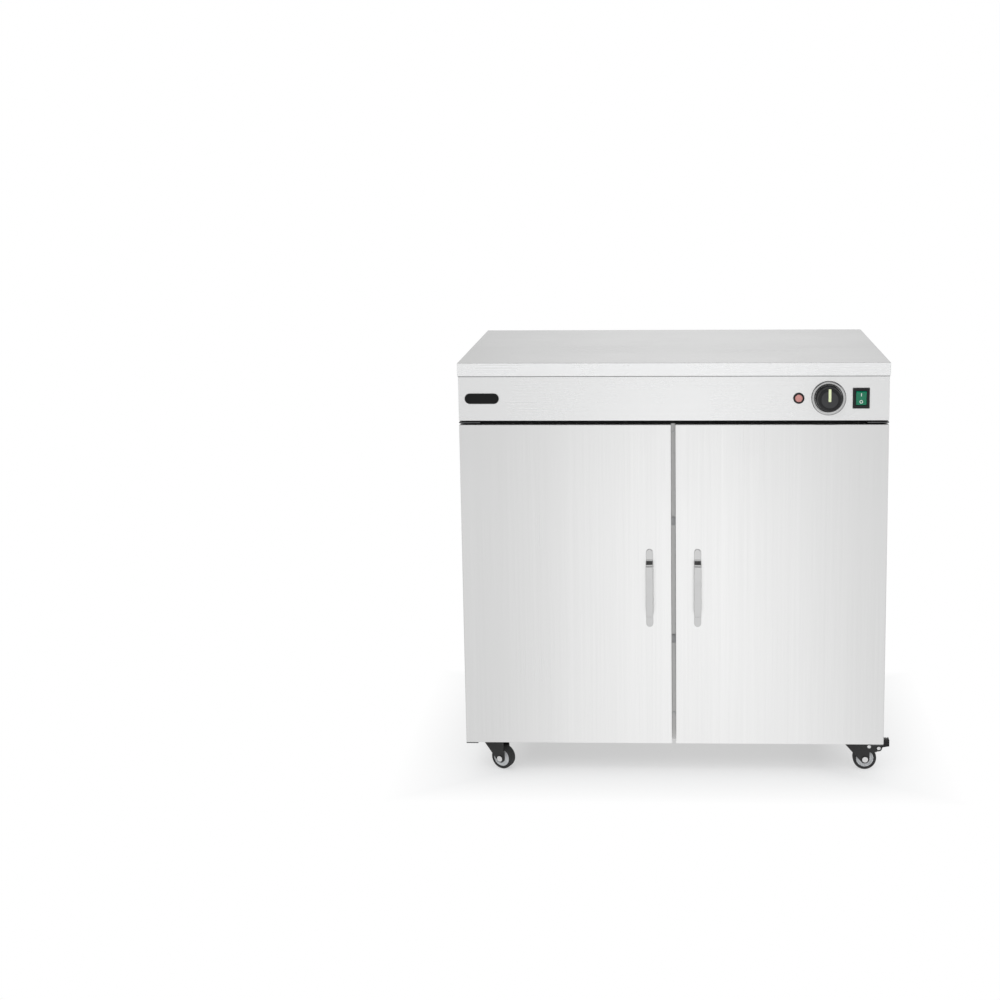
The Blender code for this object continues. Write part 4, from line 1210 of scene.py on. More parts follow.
@dataclass
class Fasteners:
    """Collects the places of screws, rivets and bolts, and sets each kind at once."""

    recess: float = 0.62
    recess_width: float = 0.24
    recess_depth: float = 0.55
    nut_edge: float = 0.35 * MM
    dome: tuple[tuple[float, float], ...] = ((1.0, 0.30), (0.93, 0.58), (0.74, 0.84),
                                             (0.40, 0.97), (0.0, 1.0))
    seed: int = 7
    wanted: dict = field(default_factory=dict)

    def add(self, body: str, kind: Fixing, places: Iterable[Point], out: Point,
            finish: Finish = Look.ZINC) -> None:
        """Ask for one fastening at each place.

        Args:
            body: The body that they ride on.
            kind: Which fastening.
            places: Where each head sits on its sheet.
            out: The direction that the heads face.
            finish: Their finish.
        """
        self.wanted.setdefault((body, kind, finish), []).extend((place, out) for place in places)

    def head(self, kind: Fixing) -> bpy.types.Object:
        """Make the shape of one fastening, standing on the origin.

        Args:
            kind: Which fastening.

        Returns:
            The head, as a helper.
        """
        radius, height = kind.value
        if kind is Fixing.HEX_BOLT:
            nut = extruded(circle(radius, 6), height, Matrix.Identity(4), self.nut_edge)
            washer = turned([(0.0, -0.1 * MM), (radius * 1.22, -0.1 * MM),
                             (radius * 1.22, 0.6 * MM), (radius * 1.1, 0.8 * MM),
                             (0.0, 0.8 * MM)], 20)
            return from_bmesh("hex_head", merged(washer, nut))
        dome = [(0.0, -0.1 * MM), (radius, -0.1 * MM)]
        dome += [(across * radius, rise * height) for across, rise in self.dome]
        blank = from_bmesh("head", turned(dome, 16))
        if kind in (Fixing.RIVET, Fixing.EAR_RIVET):
            return blank
        arm, width, deep = (self.recess * radius, self.recess_width * radius,
                            self.recess_depth * height)
        for index, (x, y) in enumerate(((arm, width), (width, arm))):
            bar = from_bmesh(f"recess_{index}", extruded(
                [(-x, -y), (x, -y), (x, y), (-x, y)], height,
                Matrix.Translation((0, 0, height - deep))))
            cut = blank.modifiers.new("recess", "BOOLEAN")
            cut.operation, cut.solver, cut.object = "DIFFERENCE", "EXACT", bar
            blank.data = evaluated(blank)
            blank.modifiers.clear()
            discard(bar)
        blank.data.set_sharp_from_angle(angle=SMOOTH_ANGLE)
        return blank

    def build(self) -> None:
        """Set every fastening that was asked for, as one piece for each body and kind."""
        heads = {kind: self.head(kind) for kind in dict.fromkeys(key[1] for key in self.wanted)}
        for step, ((body, kind, finish), items) in enumerate(self.wanted.items()):
            name = f"{body}_{kind.name.lower()}s"
            mesh = run_tree(name, [place for place, _ in items], fastening_tree(),
                            {"Fastener": heads[kind], "Seed": self.seed + step,
                             "Material": finish.material()}, [out for _, out in items])
            mount(link(name, mesh, finish), body, finish)
        discard(*heads.values())


# ---------------------------------------------------------------- the cabinet


@dataclass
class Carcass:
    """The worktop, outer sheets, fascia, posts, hinge plates and magnets."""

    fixings: Fasteners
    body: str = "cabinet"
    fold: float = 0.45 * MM
    plate_edge: float = 0.25 * MM
    post_edge: float = 0.3 * MM
    gland_edge: float = 0.3 * MM
    lip_turn: float = 0.6
    seal_depth: float = 2 * MM
    seal_lap: float = 4 * MM
    bead: float = 1.4 * MM
    punch_depth: float = 8 * MM
    screw_inset: float = 14 * MM
    screw_counts: tuple[int, int] = (5, 4)
    vent_size: tuple[float, float] = (44 * MM, 4 * MM)
    vent_pitch: tuple[float, float] = (54 * MM, 10 * MM)
    vent_counts: tuple[int, int] = (3, 5)
    vent_bank: float = 0.215
    vent_height: float = 0.775

    def build(self) -> None:
        """Build every sheet of the carcass."""
        # The worktop sheet's faces take painted tones by the way they face: the top and the end
        # faces a painted shade, the lip's other faces a painted highlight.
        sheet = recast("worktop", "worktop_sheet", self.body, Look.TOP_SHADED)
        sheet.data.materials.append(Look.LIP.material())
        sheet.data.materials.append(Look.LIP_END_SHADED.material())
        for face in sheet.data.polygons:
            if abs(face.normal.x) > self.lip_turn:
                face.material_index = 2
            elif face.normal.z < self.lip_turn:
                face.material_index = 1
        recast("control_fascia", "fascia_sheet", self.body, Look.FASCIA)
        for side in ("left", "right"):
            # The side sheets take the darker, painted-shade copy of the steel.
            recast(f"{side}_side_panel", f"{side}_side_sheet", self.body, Look.SIDE, self.fold)
            for level in ("upper", "lower"):
                recast(f"{side}_{level}_hinge", f"{side}_{level}_hinge_plate", self.body,
                       Look.HINGE_SHADED, self.plate_edge)
        # The centre post, lintel and base pan take the much darker, painted-shade copy of the
        # steel.
        recast("centre_post", "centre_post_sheet", self.body, Look.FRAME_SHADED, self.post_edge)
        for level in ("upper", "lower"):
            recast(f"{level}_magnet", f"{level}_magnet_disc", self.body, Look.MAGNET_SHADED,
                   self.plate_edge)
        self.seal_and_shade_strips()
        paint("lintel", Look.FRAME_SHADED)
        paint("base_pan", Look.FRAME_SHADED)
        self.rear()
        self.screws()

    def seal_and_shade_strips(self) -> None:
        """Lay the door seal on the lintel, dark also as painted shade for the slit, and a grey
        bead as a painted shadow line under the worktop's lip.
        """
        # Black strip on the lintel: a door seal, and painted shade seen through the slit between
        # the doors.
        low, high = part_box("lintel")
        foot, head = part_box("left_door_skin")[1].z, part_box("control_fascia")[0].z
        strip = extruded(rounded(high.x - low.x - 2 * MM, head - foot + self.seal_lap,
                                 1.5 * MM, 3), self.seal_depth,
                         facing((0, low.y, (foot + head) / 2), FRONTWARDS), 0.6 * MM)
        fit("lintel_seal", strip, self.body, Look.SEAL_AND_SHADE)
        # Grey bead under the lip: a painted shadow line.
        low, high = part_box("control_fascia")
        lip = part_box("worktop")[0]
        line = extruded(rounded(high.x - low.x, self.bead, self.bead * 0.4, 3),
                        low.y - lip.y - 0.2 * MM,
                        facing((0, low.y, lip.z - self.bead / 2), FRONTWARDS), 0.3 * MM)
        fit("lip_sealant", line, self.body, Look.JOINT_SHADOW_LINE)

    def rear(self) -> None:
        """Punch the two banks of vent slots in the rear panel, and model the mains entry."""
        low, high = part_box("rear_panel")
        places = [(bank + (column - (self.vent_counts[0] - 1) / 2) * self.vent_pitch[0], high.y,
                   self.vent_height + (row - (self.vent_counts[1] - 1) / 2) * self.vent_pitch[1])
                  for bank in (-self.vent_bank, self.vent_bank)
                  for column in range(self.vent_counts[0]) for row in range(self.vent_counts[1])]
        piece = punched("rear_sheet", node_shape("rear_panel"),
                        rounded(*self.vent_size, self.vent_size[1] / 2), self.punch_depth,
                        facing((0, 0, 0), REARWARDS), places, Look.SIDE)
        mount(piece, self.body, Look.SIDE, "rear_panel")
        recast("cable_gland", "mains_gland", self.body, Look.GLAND, self.gland_edge)

    def screws(self) -> None:
        """Ask for the screws round the rear panel and down the centre post."""
        low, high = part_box("rear_panel")
        inset = self.screw_inset
        columns = np.linspace(low.x + inset, high.x - inset, self.screw_counts[0])
        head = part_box("worktop")[0].z - inset
        rows = np.linspace(low.z + inset, head, self.screw_counts[1])
        places = [(x, high.y, z) for x in columns for z in (rows[0], rows[-1])]
        places += [(x, high.y, z) for x in (columns[0], columns[-1]) for z in rows[1:-1]]
        self.fixings.add(self.body, Fixing.PAN_SCREW, places, REARWARDS)
        low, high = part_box("centre_post")
        foot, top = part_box("base_pan")[1].z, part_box("lintel")[0].z
        self.fixings.add(self.body, Fixing.SMALL_SCREW,
                         [(0.0, low.y, foot + 2 * MM), (0.0, low.y, top)], FRONTWARDS)


@dataclass
class Compartment:
    """The liner, shelf racks, punched shelves and heating element."""

    fixings: Fasteners
    body: str = "cabinet"
    rack_edge: float = 0.25 * MM
    stay_edge: float = 0.2 * MM
    shelf_edge: float = 0.3 * MM
    punch_depth: float = 6 * MM
    rack_wall: float = 3 * MM
    rack_screw_rise: float = 24 * MM
    rack_screw_inset: float = 8 * MM
    rack_screw_rows: int = 4
    hole: float = 5.8 * MM
    hole_pitch: float = 23 * MM
    holes_in_row: int = 11
    row_centre: float = 0.205
    row_rise: float = 61 * MM
    slot: tuple[float, float] = (12 * MM, 5 * MM)
    slot_pitch: tuple[float, float] = (18 * MM, 14 * MM)
    slots: tuple[int, int] = (3, 2)
    group_pitch: tuple[float, float] = (86 * MM, 70 * MM)
    groups: tuple[int, int] = (9, 5)

    def build(self) -> None:
        """Build the inside."""
        self.back()
        for level in ("lower", "middle", "upper"):
            self.shelf(level)
        for side, sign in (("left", 1), ("right", -1)):
            paint(f"liner_{side}", Look.LINER_SIDE)
            recast(f"{side}_shelf_rack", f"{side}_rack", self.body, Look.SHELF, self.rack_edge)
            self.rack_screws(side, sign)
        for part in ("floor", "ceiling"):
            paint(f"liner_{part}", Look.LINER)
        recast("heating_element", "element_tube", self.body, Look.SHEATH)
        recast("element_bracket", "element_stays", self.body, Look.SHELF, self.stay_edge)

    def back(self) -> None:
        """Punch the air holes in the liner's back."""
        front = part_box("liner_back")[0].y
        heights = [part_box(node)[1].z + self.row_rise
                   for node in ("liner_floor", "shelf_lower", "shelf_middle", "shelf_upper")]
        places = [(side * self.row_centre + (i - (self.holes_in_row - 1) / 2) * self.hole_pitch,
                   front, z) for z in heights for side in (-1, 1)
                  for i in range(self.holes_in_row)]
        piece = punched("liner_back_sheet", node_shape("liner_back"), circle(self.hole, 20),
                        self.punch_depth, facing((0, 0, 0), REARWARDS), places, Look.LINER)
        mount(piece, self.body, Look.LINER, "liner_back")

    def shelf(self, level: str) -> None:
        """Punch the groups of slots in one shelf.

        Args:
            level: Which shelf, lower, middle or upper.
        """
        low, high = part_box(f"shelf_{level}")
        centre = (low + high) / 2

        def spots(side: int) -> list[float]:
            """Return the offsets of the slots along one side of the shelf, 0 for X or 1 for Y."""
            groups, slots = self.groups[side], self.slots[side]
            return [(group - (groups - 1) / 2) * self.group_pitch[side]
                    + (i - (slots - 1) / 2) * self.slot_pitch[side]
                    for group in range(groups) for i in range(slots)]

        places = [(centre.x + x, centre.y + y, high.z) for x in spots(0) for y in spots(1)]
        shape = node_shape(f"shelf_{level}")
        soften(shape, self.shelf_edge)
        piece = punched(f"shelf_{level}_tray", shape,
                        rounded(*self.slot, self.slot[1] / 2 * 0.999, 3), self.punch_depth,
                        Matrix.Identity(4), places, Look.SHELF)
        mount(piece, self.body, Look.SHELF, f"shelf_{level}")

    def rack_screws(self, side: str, sign: int) -> None:
        """Ask for the screws that hold one rack's uprights to the liner.

        Args:
            side: Which rack, left or right.
            sign: The direction of X that it faces.
        """
        low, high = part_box(f"{side}_shelf_rack")
        face = (low.x if sign > 0 else high.x) + sign * self.rack_wall
        columns = (low.y + self.rack_screw_inset, high.y - self.rack_screw_inset)
        heights = np.linspace(low.z + self.rack_screw_rise, high.z - self.rack_screw_rise,
                              self.rack_screw_rows)
        self.fixings.add(self.body, Fixing.SMALL_SCREW,
                         [(face, y, z) for y in columns for z in heights], (sign, 0, 0))


@dataclass
class Doors:
    """The two doors: front skin, inner panel, strap handle and rivets."""

    fixings: Fasteners
    rivet_drop: float = 0.2010
    rivet_inset: float = 9 * MM
    inner_edge: float = 0.3 * MM
    handle_edge: float = 0.55 * MM

    def build(self) -> None:
        """Build both doors."""
        for side, sign in (("left", 1), ("right", -1)):
            body = f"{side}_door"
            recast(f"{side}_door_skin", f"{side}_door_front", body, Look.FRONT)
            recast(f"{side}_door_inner", f"{side}_door_back", body, Look.INNER,
                   self.inner_edge)
            recast(f"{side}_door_handle", f"{side}_handle", body, Look.BRIGHT,
                   self.handle_edge, 3)
            self.rivets(side, sign)

    def rivets(self, side: str, sign: int) -> None:
        """Ask for the rivets along the inner panel's free edge.

        Args:
            side: Which door, left or right.
            sign: The direction of X from its hinges to its free edge.
        """
        low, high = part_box(f"{side}_door_inner")
        free = (high.x if sign > 0 else low.x) - sign * self.rivet_inset
        heights = (high.z - self.rivet_drop, low.z + self.rivet_drop)
        self.fixings.add(f"{side}_door", Fixing.RIVET, [(free, high.y, z) for z in heights],
                         REARWARDS)


@dataclass
class Controls:
    """The pilot lamp, thermostat knob and dial, rocker switch and badge."""

    segments: int = 96
    tick_count: int = 31
    tick_turn: float = 300.0
    tick: tuple[float, float] = (0.4 * MM, 1.3 * MM)
    pointer: tuple[float, float] = (5.2 * MM, 25 * MM)
    print_depth: float = 0.12 * MM
    print_lift: float = 0.02 * MM
    spindle_bore: float = 3.4 * MM
    knob_skirt: float = 3.5 * MM
    badge_rim: float = 0.5 * MM
    bezel_edge: float = 0.2 * MM
    can_edge: float = 0.5 * MM
    switch_edge: float = 0.45 * MM
    rocker_edge: float = 0.5 * MM

    def build(self) -> None:
        """Build every control."""
        recast("pilot_lamp_body", "lamp_bezel", "cabinet", Look.PLASTIC, self.bezel_edge)
        recast("pilot_lens", "lamp_lens", "cabinet", Look.LENS)
        recast("thermostat_body", "thermostat_can", "cabinet", Look.ZINC, self.can_edge)
        recast("thermostat_shaft", "thermostat_spindle", "knob", Look.ZINC, self.bezel_edge)
        self.knob()
        self.dial()
        self.switch()
        self.badge()

    def knob(self) -> None:
        """Turn the knob, with a paler cap let into its face, and print its pointer."""
        low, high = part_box("thermostat_knob")
        centre = ((low.x + high.x) / 2, high.y, (low.z + high.z) / 2)
        radius, depth = (high.x - low.x) / 2, high.y - low.y
        skirt, bore = self.knob_skirt, self.spindle_bore
        profile = [(bore, 1.0 * MM), (radius - 4 * MM, 0.6 * MM), (radius - 1 * MM, 0.0),
                   (radius - 0.3 * MM, 0.2 * MM), (radius, 0.9 * MM), (radius, skirt - 0.6 * MM),
                   (radius - 0.4 * MM, skirt), (radius - 1.6 * MM, skirt + 0.6 * MM),
                   (radius - 2.0 * MM, skirt + 1.6 * MM), (radius - 3.0 * MM, depth - 3.2 * MM),
                   (radius - 3.4 * MM, depth - 2.0 * MM), (radius - 4.4 * MM, depth - 1.1 * MM),
                   (radius - 6.0 * MM, depth - 0.7 * MM), (radius - 7.0 * MM, depth - 0.6 * MM),
                   (radius - 7.4 * MM, depth - 0.2 * MM), (radius - 8.2 * MM, depth - 0.1 * MM),
                   (radius - 8.8 * MM, depth - 0.8 * MM), (bore, depth - 0.9 * MM)]
        fit("knob_turning", turned(profile, self.segments, centre, FRONTWARDS), "knob",
            Look.KNOB, "thermostat_knob")
        inner = radius - 9.0 * MM
        cap = [(0.0, depth - 4 * MM), (inner, depth - 4 * MM), (inner, depth - 0.9 * MM),
               (inner - 0.5 * MM, depth - 0.45 * MM), (inner * 0.6, depth - 0.25 * MM),
               (0.0, depth - 0.2 * MM)]
        disc = fit("knob_cap", turned(cap, self.segments, centre, FRONTWARDS), "knob",
                   Look.KNOB_CAP)
        width, length = self.pointer
        middle = (centre[0], low.y, centre[2] + radius - 4.6 * MM - length / 2)
        mark = extruded(rounded(width, length, 1.2 * MM, 4), self.print_depth,
                        facing(middle, FRONTWARDS), 0.04 * MM)
        bmesh.ops.subdivide_edges(mark, edges=[e for e in mark.edges
                                               if e.calc_length() > 5 * MM], cuts=12)
        lay_on(mark, disc, -0.5 * MM)
        fit("knob_pointer", mark, "knob", Look.POINTER)

    def dial(self) -> None:
        """Turn the dial's bright ring and its black base, and print its ticks."""
        low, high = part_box("dial_ring")
        centre = Vector(((low.x + high.x) / 2, high.y, (low.z + high.z) / 2))
        radius, proud = (high.x - low.x) / 2, high.y - low.y
        bore = radius - 7.4 * MM
        base = [(bore, 0.0), (radius - 0.2 * MM, 0.0), (radius, 0.3 * MM),
                (radius - 0.1 * MM, 1.0 * MM), (radius - 0.6 * MM, 1.3 * MM),
                (radius - 7.2 * MM, 1.3 * MM)]
        fit("dial_base", turned(base, self.segments, tuple(centre), FRONTWARDS), "cabinet",
            Look.PLASTIC, "dial_ring")
        crown = [(bore, 1.0 * MM), (radius - 0.8 * MM, 1.0 * MM),
                 (radius - 0.8 * MM, 1.6 * MM), (radius - 1.2 * MM, proud - 0.9 * MM),
                 (radius - 2.0 * MM, proud - 0.2 * MM), (radius - 2.8 * MM, proud),
                 (radius - 4.2 * MM, proud - 0.1 * MM), (radius - 6.6 * MM, proud - 0.3 * MM),
                 (radius - 7.2 * MM, proud - 0.7 * MM), (bore, proud - 1.4 * MM)]
        ring = fit("dial_bezel", turned(crown, self.segments, tuple(centre), FRONTWARDS),
                   "cabinet", Look.CHROME)
        marks = []
        for step in range(self.tick_count):
            angle = math.radians(self.tick_turn * (step / (self.tick_count - 1) - 0.5))
            long = 1.5 if step % 5 == 0 else 1.0
            out = Vector((math.sin(angle), 0.0, math.cos(angle)))
            marks.append(extruded(rounded(self.tick[0], self.tick[1] * long, 0.2 * MM, 2),
                                  self.print_depth,
                                  facing(centre + out * (radius - 4.2 * MM), FRONTWARDS, out)))
        ticks = merged(*marks)
        lay_on(ticks, ring, self.print_lift)
        fit("dial_ticks", ticks, "cabinet", Look.TICK)

    def switch(self) -> None:
        """Dress the switch, and print the marks for on and off on its rocker."""
        recast("switch_housing", "switch_frame", "cabinet", Look.PLASTIC, self.switch_edge, 3)
        rocker = recast("rocker_button", "rocker_cap", "rocker", Look.GREEN, self.rocker_edge, 3)
        low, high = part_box("rocker_button")
        x, z, rise = (low.x + high.x) / 2, (low.z + high.z) / 2, (high.z - low.z) * 0.25
        bar = extruded(rounded(1.4 * MM, 6.4 * MM, 0.5 * MM, 3), self.print_depth,
                       facing((x, low.y, z + rise), FRONTWARDS))
        ring = band(circle(3.3 * MM, 28), circle(2.1 * MM, 28), self.print_depth,
                    facing((x, low.y, z - rise), FRONTWARDS))
        for shape in (bar, ring):
            lay_on(shape, rocker, self.print_lift)
        fit("rocker_marks", merged(bar, ring), "rocker", Look.MARK)

    def badge(self) -> None:
        """Make a plain pill-shaped plate with a bright rim."""
        low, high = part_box("badge")
        width, height, rim = high.x - low.x, high.z - low.z, self.badge_rim
        place = facing(((low.x + high.x) / 2, high.y, (low.z + high.z) / 2), FRONTWARDS)
        outer = rounded(width, height, height / 2 * 0.98, 14)
        inner = rounded(width - 2 * rim, height - 2 * rim, (height / 2 - rim) * 0.98, 14)
        edge = band(outer, inner, (high.y - low.y) * 0.8, place, (high.y - low.y) * 0.2)
        fit("badge_rim", edge, "cabinet", Look.CHROME, "badge")
        plate = extruded(inner, (high.y - low.y) * 0.7, place, 0.2 * MM)
        fit("badge_plate", plate, "cabinet", Look.ENAMEL)


@dataclass
class Casters:
    """The four swivel casters, two of them with a brake."""

    fixings: Fasteners
    corners: tuple[str, ...] = ("front_left", "front_right", "rear_left", "rear_right")
    braked: tuple[str, ...] = ("front_right", "rear_left")
    bore: float = 3.4 * MM
    rim_radius: float = 17.6 * MM
    bolt_reach: float = 22.4 * MM
    bolt_sink: float = 2.5 * MM
    ears: tuple[tuple[float, float], ...] = ((48.0 * MM, 47.5 * MM), (28.2 * MM, 51.0 * MM))
    hub_half: float = 9.0 * MM
    hub_steps: int = 64
    tyre_steps: int = 96
    plate_edge: float = 0.3 * MM
    fork_edge: float = 0.5 * MM
    axle_edge: float = 0.4 * MM

    def build(self, joints: list[dict]) -> None:
        """Build every caster.

        Args:
            joints: The frame's joints, which give each wheel's centre and axle.
        """
        places = {joint["name"]: joint for joint in joints}
        for corner in self.corners:
            swivel, roller = f"{corner}_swivel", f"{corner}_roller"
            recast(f"{corner}_caster_plate", f"{corner}_top_plate", "cabinet", Look.ZINC,
                   self.plate_edge)
            recast(f"{corner}_fork", f"{corner}_fork_pressing", swivel, Look.PAINT,
                   self.fork_edge)
            recast(f"{corner}_axle", f"{corner}_axle_bolt", swivel, Look.STUD, self.axle_edge)
            spin = places[f"{corner}_wheel_spin"]
            self.wheel(corner, roller, tuple(spin["pos_m"]), tuple(spin["axis"]))
            self.plate_bolts(corner)
        for corner in self.braked:
            recast(f"{corner}_brake_pedal", f"{corner}_pedal", f"{corner}_brake", Look.PLASTIC,
                   self.fork_edge)
            self.ear_rivets(corner)

    def wheel(self, corner: str, body: str, centre: Point, axis: Point) -> None:
        """Turn one wheel's hub and its tyre.

        Args:
            corner: Which caster.
            body: The body that they spin with.
            centre: The wheel's middle.
            axis: The direction of its axle.
        """
        low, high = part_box(f"{corner}_wheel")
        radius, half = (high.z - low.z) / 2, self.hub_half
        side = [(self.bore, half), (8.0 * MM, half), (8.5 * MM, half - 0.5 * MM),
                (8.8 * MM, half - 2.4 * MM), (9.8 * MM, half - 3.0 * MM),
                (14.8 * MM, half - 3.0 * MM), (15.8 * MM, half - 2.5 * MM),
                (16.2 * MM, half - 1.0 * MM), (16.7 * MM, half - 0.55 * MM),
                (self.rim_radius, half - 0.7 * MM)]
        hub = [(r, -h) for r, h in side] + side[::-1]
        fit(f"{corner}_hub", turned(hub, self.hub_steps, centre, axis), body, Look.HUB)
        edge = [(self.rim_radius - 0.1 * MM, half - 1.2 * MM),
                (self.rim_radius + 0.3 * MM, half - 0.25 * MM), (19.0 * MM, half),
                (21.6 * MM, half - 0.1 * MM), (22.9 * MM, half - 0.6 * MM),
                (23.6 * MM, half - 1.6 * MM), (radius - 0.08 * MM, half - 3.2 * MM),
                (radius, half - 5.2 * MM)]
        tyre = [(r, -h) for r, h in edge] + edge[::-1]
        fit(f"{corner}_tyre", turned(tyre, self.tyre_steps, centre, axis), body, Look.RUBBER,
            f"{corner}_wheel")

    def plate_bolts(self, corner: str) -> None:
        """Ask for the four bolts through one top plate, clear of the turning fork.

        Args:
            corner: Which caster.
        """
        low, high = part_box(f"{corner}_caster_plate")
        x, y = (low.x + high.x) / 2, (low.y + high.y) / 2
        self.fixings.add("cabinet", Fixing.HEX_BOLT,
                         [(x + i * self.bolt_reach, y + j * self.bolt_reach,
                           high.z - self.bolt_sink) for i in (-1, 1) for j in (-1, 1)],
                         DOWNWARDS)

    def ear_rivets(self, corner: str) -> None:
        """Ask for the rivets on both sides of one brake's ears.

        Args:
            corner: Which caster.
        """
        plate_low, plate_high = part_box(f"{corner}_caster_plate")
        low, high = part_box(f"{corner}_brake_pedal")
        king = (plate_low + plate_high) / 2
        out = 1 if (low.x + high.x) / 2 > king.x else -1
        for y, way in ((low.y, -1), (high.y, 1)):
            self.fixings.add(f"{corner}_swivel", Fixing.EAR_RIVET,
                             [(king.x + out * reach, y, z) for reach, z in self.ears],
                             (0, way, 0), Look.STUD)


# ---------------------------------------------------------------- studio


@dataclass
class Studio:
    """The camera, soft lamps, pale floor and world."""

    camera_place: Point = (0.0092, -3.1083, 1.3059)
    yaw: float = -0.0324
    pitch: float = 0.1405
    roll: float = -0.0072
    lens: float = 53.3448
    shift: tuple[float, float] = (-0.13, -0.16)
    sensor: float = 36.0
    aim: Point = (0.0, 0.0, 0.45)
    floor_half: float = 14.0
    floor_thick: float = 0.02
    floor_drop: float = 0.3 * MM
    floor_grey: float = 0.93
    painted_shade_reach: tuple[float, float] = (0.70, 1.34)
    world_light: float = 0.66
    white_in_painted_shade: float = 0.35
    floor_gleam: float = 0.92
    floor_reach: float = 0.44
    back_level: float = 0.80
    bright_side: tuple[float, float] = (0.015, 0.05)
    back_reach: tuple[float, float] = (-0.3, 0.6)
    ceiling_level: float = 0.12
    ceiling_reach: tuple[float, float] = (0.42, 0.56)
    opening_reach: tuple[float, float] = (0.80, 0.90)
    footprint: tuple[float, float] = (0.43, 0.27)
    side_levels: tuple[tuple[float, float], ...] = ((0.0, 1.0), (0.08, 1.0), (0.20, 0.74),
                                                    (0.44, 0.58), (0.68, 0.56), (1.0, 0.78))
    floor_shadow_levels: tuple[float, float] = (0.90, 1.0)
    floor_shadow_reach: tuple[float, float] = (0.35, 2.2)

    def build(self) -> None:
        """Make everything round the cabinet."""
        scene = bpy.context.scene
        scene.view_settings.view_transform = "Standard"
        self.camera(scene)
        self.world(scene)
        self.floor()
        self.lamp("key_lamp", (-1.3, -2.6, 2.9), size=1.9, power=30.0)
        self.lamp("fill_lamp", (1.9, -2.2, 2.1), size=1.6, power=12.0)
        self.lamp("back_lamp", (0.4, 2.2, 2.6), size=1.8, power=12.0)

    def camera(self, scene: bpy.types.Scene) -> None:
        """Set up the camera.

        Args:
            scene: The scene.
        """
        data = bpy.data.cameras.new("camera")
        data.sensor_width = self.sensor
        data.lens = self.lens
        data.shift_x, data.shift_y = self.shift
        eye = bpy.data.objects.new("camera", data)
        ahead = Vector((math.sin(self.yaw) * math.cos(self.pitch),
                        math.cos(self.yaw) * math.cos(self.pitch), -math.sin(self.pitch)))
        right = Vector((math.cos(self.yaw), -math.sin(self.yaw), 0.0))
        above = right.cross(ahead)
        across = math.cos(self.roll) * right + math.sin(self.roll) * above
        upright = -math.sin(self.roll) * right + math.cos(self.roll) * above
        turn = Matrix((across, upright, -ahead)).transposed().to_4x4()
        eye.matrix_world = Matrix.Translation(self.camera_place) @ turn
        scene.collection.objects.link(eye)
        scene.camera = eye

    def world(self, scene: bpy.types.Scene) -> None:
        """Light evenly from all round, and show bright metal a studio that dims to its sides.

        Args:
            scene: The scene.
        """
        world = bpy.data.worlds.new("studio")
        world.use_nodes = True
        scene.world = world
        graph = Graph(world.node_tree)
        path = graph.add("ShaderNodeLightPath")
        way = graph.add("ShaderNodeSeparateXYZ",
                        Vector=graph.add("ShaderNodeTexCoord").outputs["Generated"])
        aside = graph.math("ABSOLUTE", graph.math("SUBTRACT", way.outputs["X"],
                                                  self.bright_side[0]))
        behind = graph.spread(way.outputs["Y"], 1.0, self.back_level, *self.back_reach)
        ceiling = graph.spread(way.outputs["Z"], 1.0, self.ceiling_level, *self.ceiling_reach)
        opening = graph.spread(way.outputs["Z"], 0.0, 1.0, *self.opening_reach)
        over = graph.math("MAXIMUM", ceiling, opening)
        level = graph.math("MULTIPLY", graph.math("MULTIPLY", self.falloff(graph, aside), over),
                           behind)
        gleam = graph.math("MAXIMUM", path.outputs["Is Glossy Ray"],
                           path.outputs["Is Transmission Ray"])
        soft = graph.add("ShaderNodeBackground", Color=(0.96, 0.98, 1.0, 1.0),
                         Strength=self.world_light)
        bright = graph.add("ShaderNodeBackground", Color=WHITE, Strength=level)
        white = graph.add("ShaderNodeBackground", Color=WHITE, Strength=1.0)
        graph.add("ShaderNodeOutputWorld", Surface=graph.layered(
            soft, (gleam, bright), (path.outputs["Is Camera Ray"], white)))

    def falloff(self, graph: Graph, aside: bpy.types.NodeSocket) -> bpy.types.NodeSocket:
        """Set how bright the studio is, by how far to the side a reflection looks.

        Args:
            graph: The graph that it is used in.
            aside: How far to the side, from 0 to 1.

        Returns:
            The level.
        """
        ramp = graph.add("ShaderNodeValToRGB", Fac=aside)
        ramp.color_ramp.interpolation = "B_SPLINE"
        stops = ramp.color_ramp.elements
        while len(stops) < len(self.side_levels):
            stops.new(0.5)
        for stop, (place, level) in zip(stops, self.side_levels):
            stop.position, stop.color = place, (level, level, level, 1.0)
        return ramp.outputs["Color"]

    def floor(self) -> None:
        """Lay the floor, which the lens sees as white away from the cabinet; round its footprint
        less white shows, a painted shade over the real shadow.
        """
        half = self.floor_half
        sheet = extruded([(-half, -half), (half, -half), (half, half), (-half, half)],
                         self.floor_thick,
                         Matrix.Translation((0, 0, -self.floor_thick - self.floor_drop)))
        plane = from_bmesh("studio_floor", sheet)
        material = bpy.data.materials.new("studio_floor")
        material.use_nodes = True
        graph = Graph(material.node_tree)
        path = graph.add("ShaderNodeLightPath")
        place = graph.add("ShaderNodeTexCoord").outputs["Object"]
        split = graph.add("ShaderNodeSeparateXYZ", Vector=place)
        across = graph.math("ABSOLUTE", split.outputs["X"])
        away = graph.math("ABSOLUTE", split.outputs["Y"])
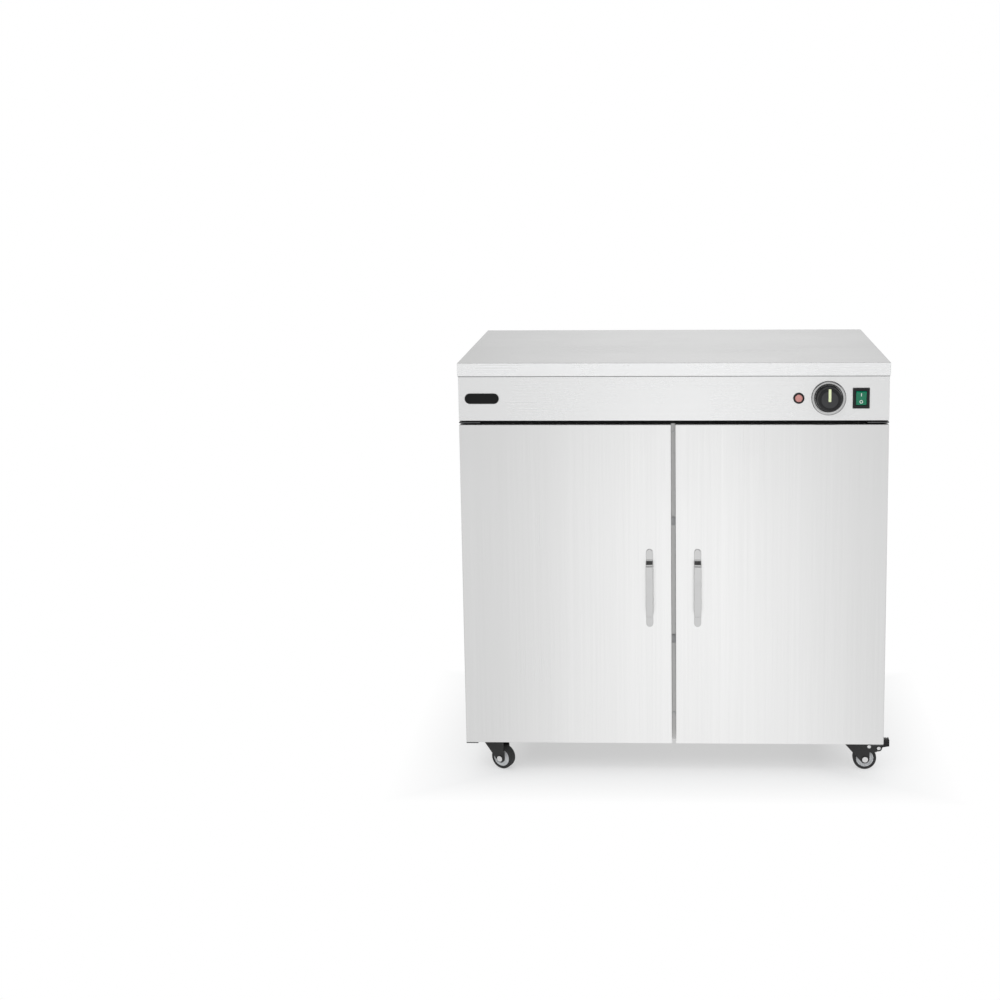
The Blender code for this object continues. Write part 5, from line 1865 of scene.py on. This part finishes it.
        # Painted shade: round the cabinet's footprint the lens sees less white and more of the
        # lit floor, so the floor there is darker as well as holding its real shadow.
        far = graph.math("MAXIMUM", graph.math("DIVIDE", across, self.footprint[0]),
                         graph.math("DIVIDE", away, self.footprint[1]))
        fade = graph.spread(far, self.white_in_painted_shade, 1.0, *self.painted_shade_reach)
        seen = graph.math("MULTIPLY", path.outputs["Is Camera Ray"], fade)
        matt = graph.add("ShaderNodeBsdfDiffuse", Color=(*(self.floor_grey,) * 3, 1.0))
        white = graph.add("ShaderNodeEmission", Color=WHITE, Strength=1.0)
        aside = graph.math("ABSOLUTE", graph.math("SUBTRACT", split.outputs["X"],
                                                  self.bright_side[1]))
        # Painted shadow: the floor's glow seen in reflections is dimmer near the cabinet, where
        # its shadow lies.
        near = graph.spread(away, *self.floor_shadow_levels, *self.floor_shadow_reach)
        level = graph.math("MULTIPLY", near,
                           self.falloff(graph, graph.math("MULTIPLY", aside, self.floor_reach)))
        bright = graph.add("ShaderNodeEmission", Color=WHITE, Strength=level)
        gleam = graph.math("MULTIPLY", path.outputs["Is Glossy Ray"], self.floor_gleam)
        graph.add("ShaderNodeOutputMaterial",
                  Surface=graph.layered(matt, (gleam, bright), (seen, white)))
        plane.data.materials.append(material)

    def lamp(self, name: str, place: Point, size: float, power: float) -> None:
        """Hang one square soft lamp, aimed at the cabinet's middle.

        Args:
            name: Its name.
            place: Where it hangs.
            size: Its side.
            power: Its power in watts.
        """
        data = bpy.data.lights.new(name, "AREA")
        data.shape, data.size, data.energy = "SQUARE", size, power
        lamp = bpy.data.objects.new(name, data)
        lamp.visible_glossy = False
        aim = Vector(self.aim) - Vector(place)
        lamp.matrix_world = (Matrix.Translation(place)
                             @ aim.to_track_quat("-Z", "Y").to_matrix().to_4x4())
        bpy.context.scene.collection.objects.link(lamp)


def main() -> None:
    """Load the frame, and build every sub-assembly round it."""
    logging.basicConfig(level=logging.INFO, format="%(message)s")
    for thing in list(bpy.data.objects):
        bpy.data.objects.remove(thing, do_unlink=True)
    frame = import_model()
    Studio().build()
    fixings = Fasteners()
    Carcass(fixings).build()
    Compartment(fixings).build()
    Doors(fixings).build()
    Controls().build()
    Casters(fixings).build(frame["joints"])
    fixings.build()


if __name__ == "__main__":
    main()
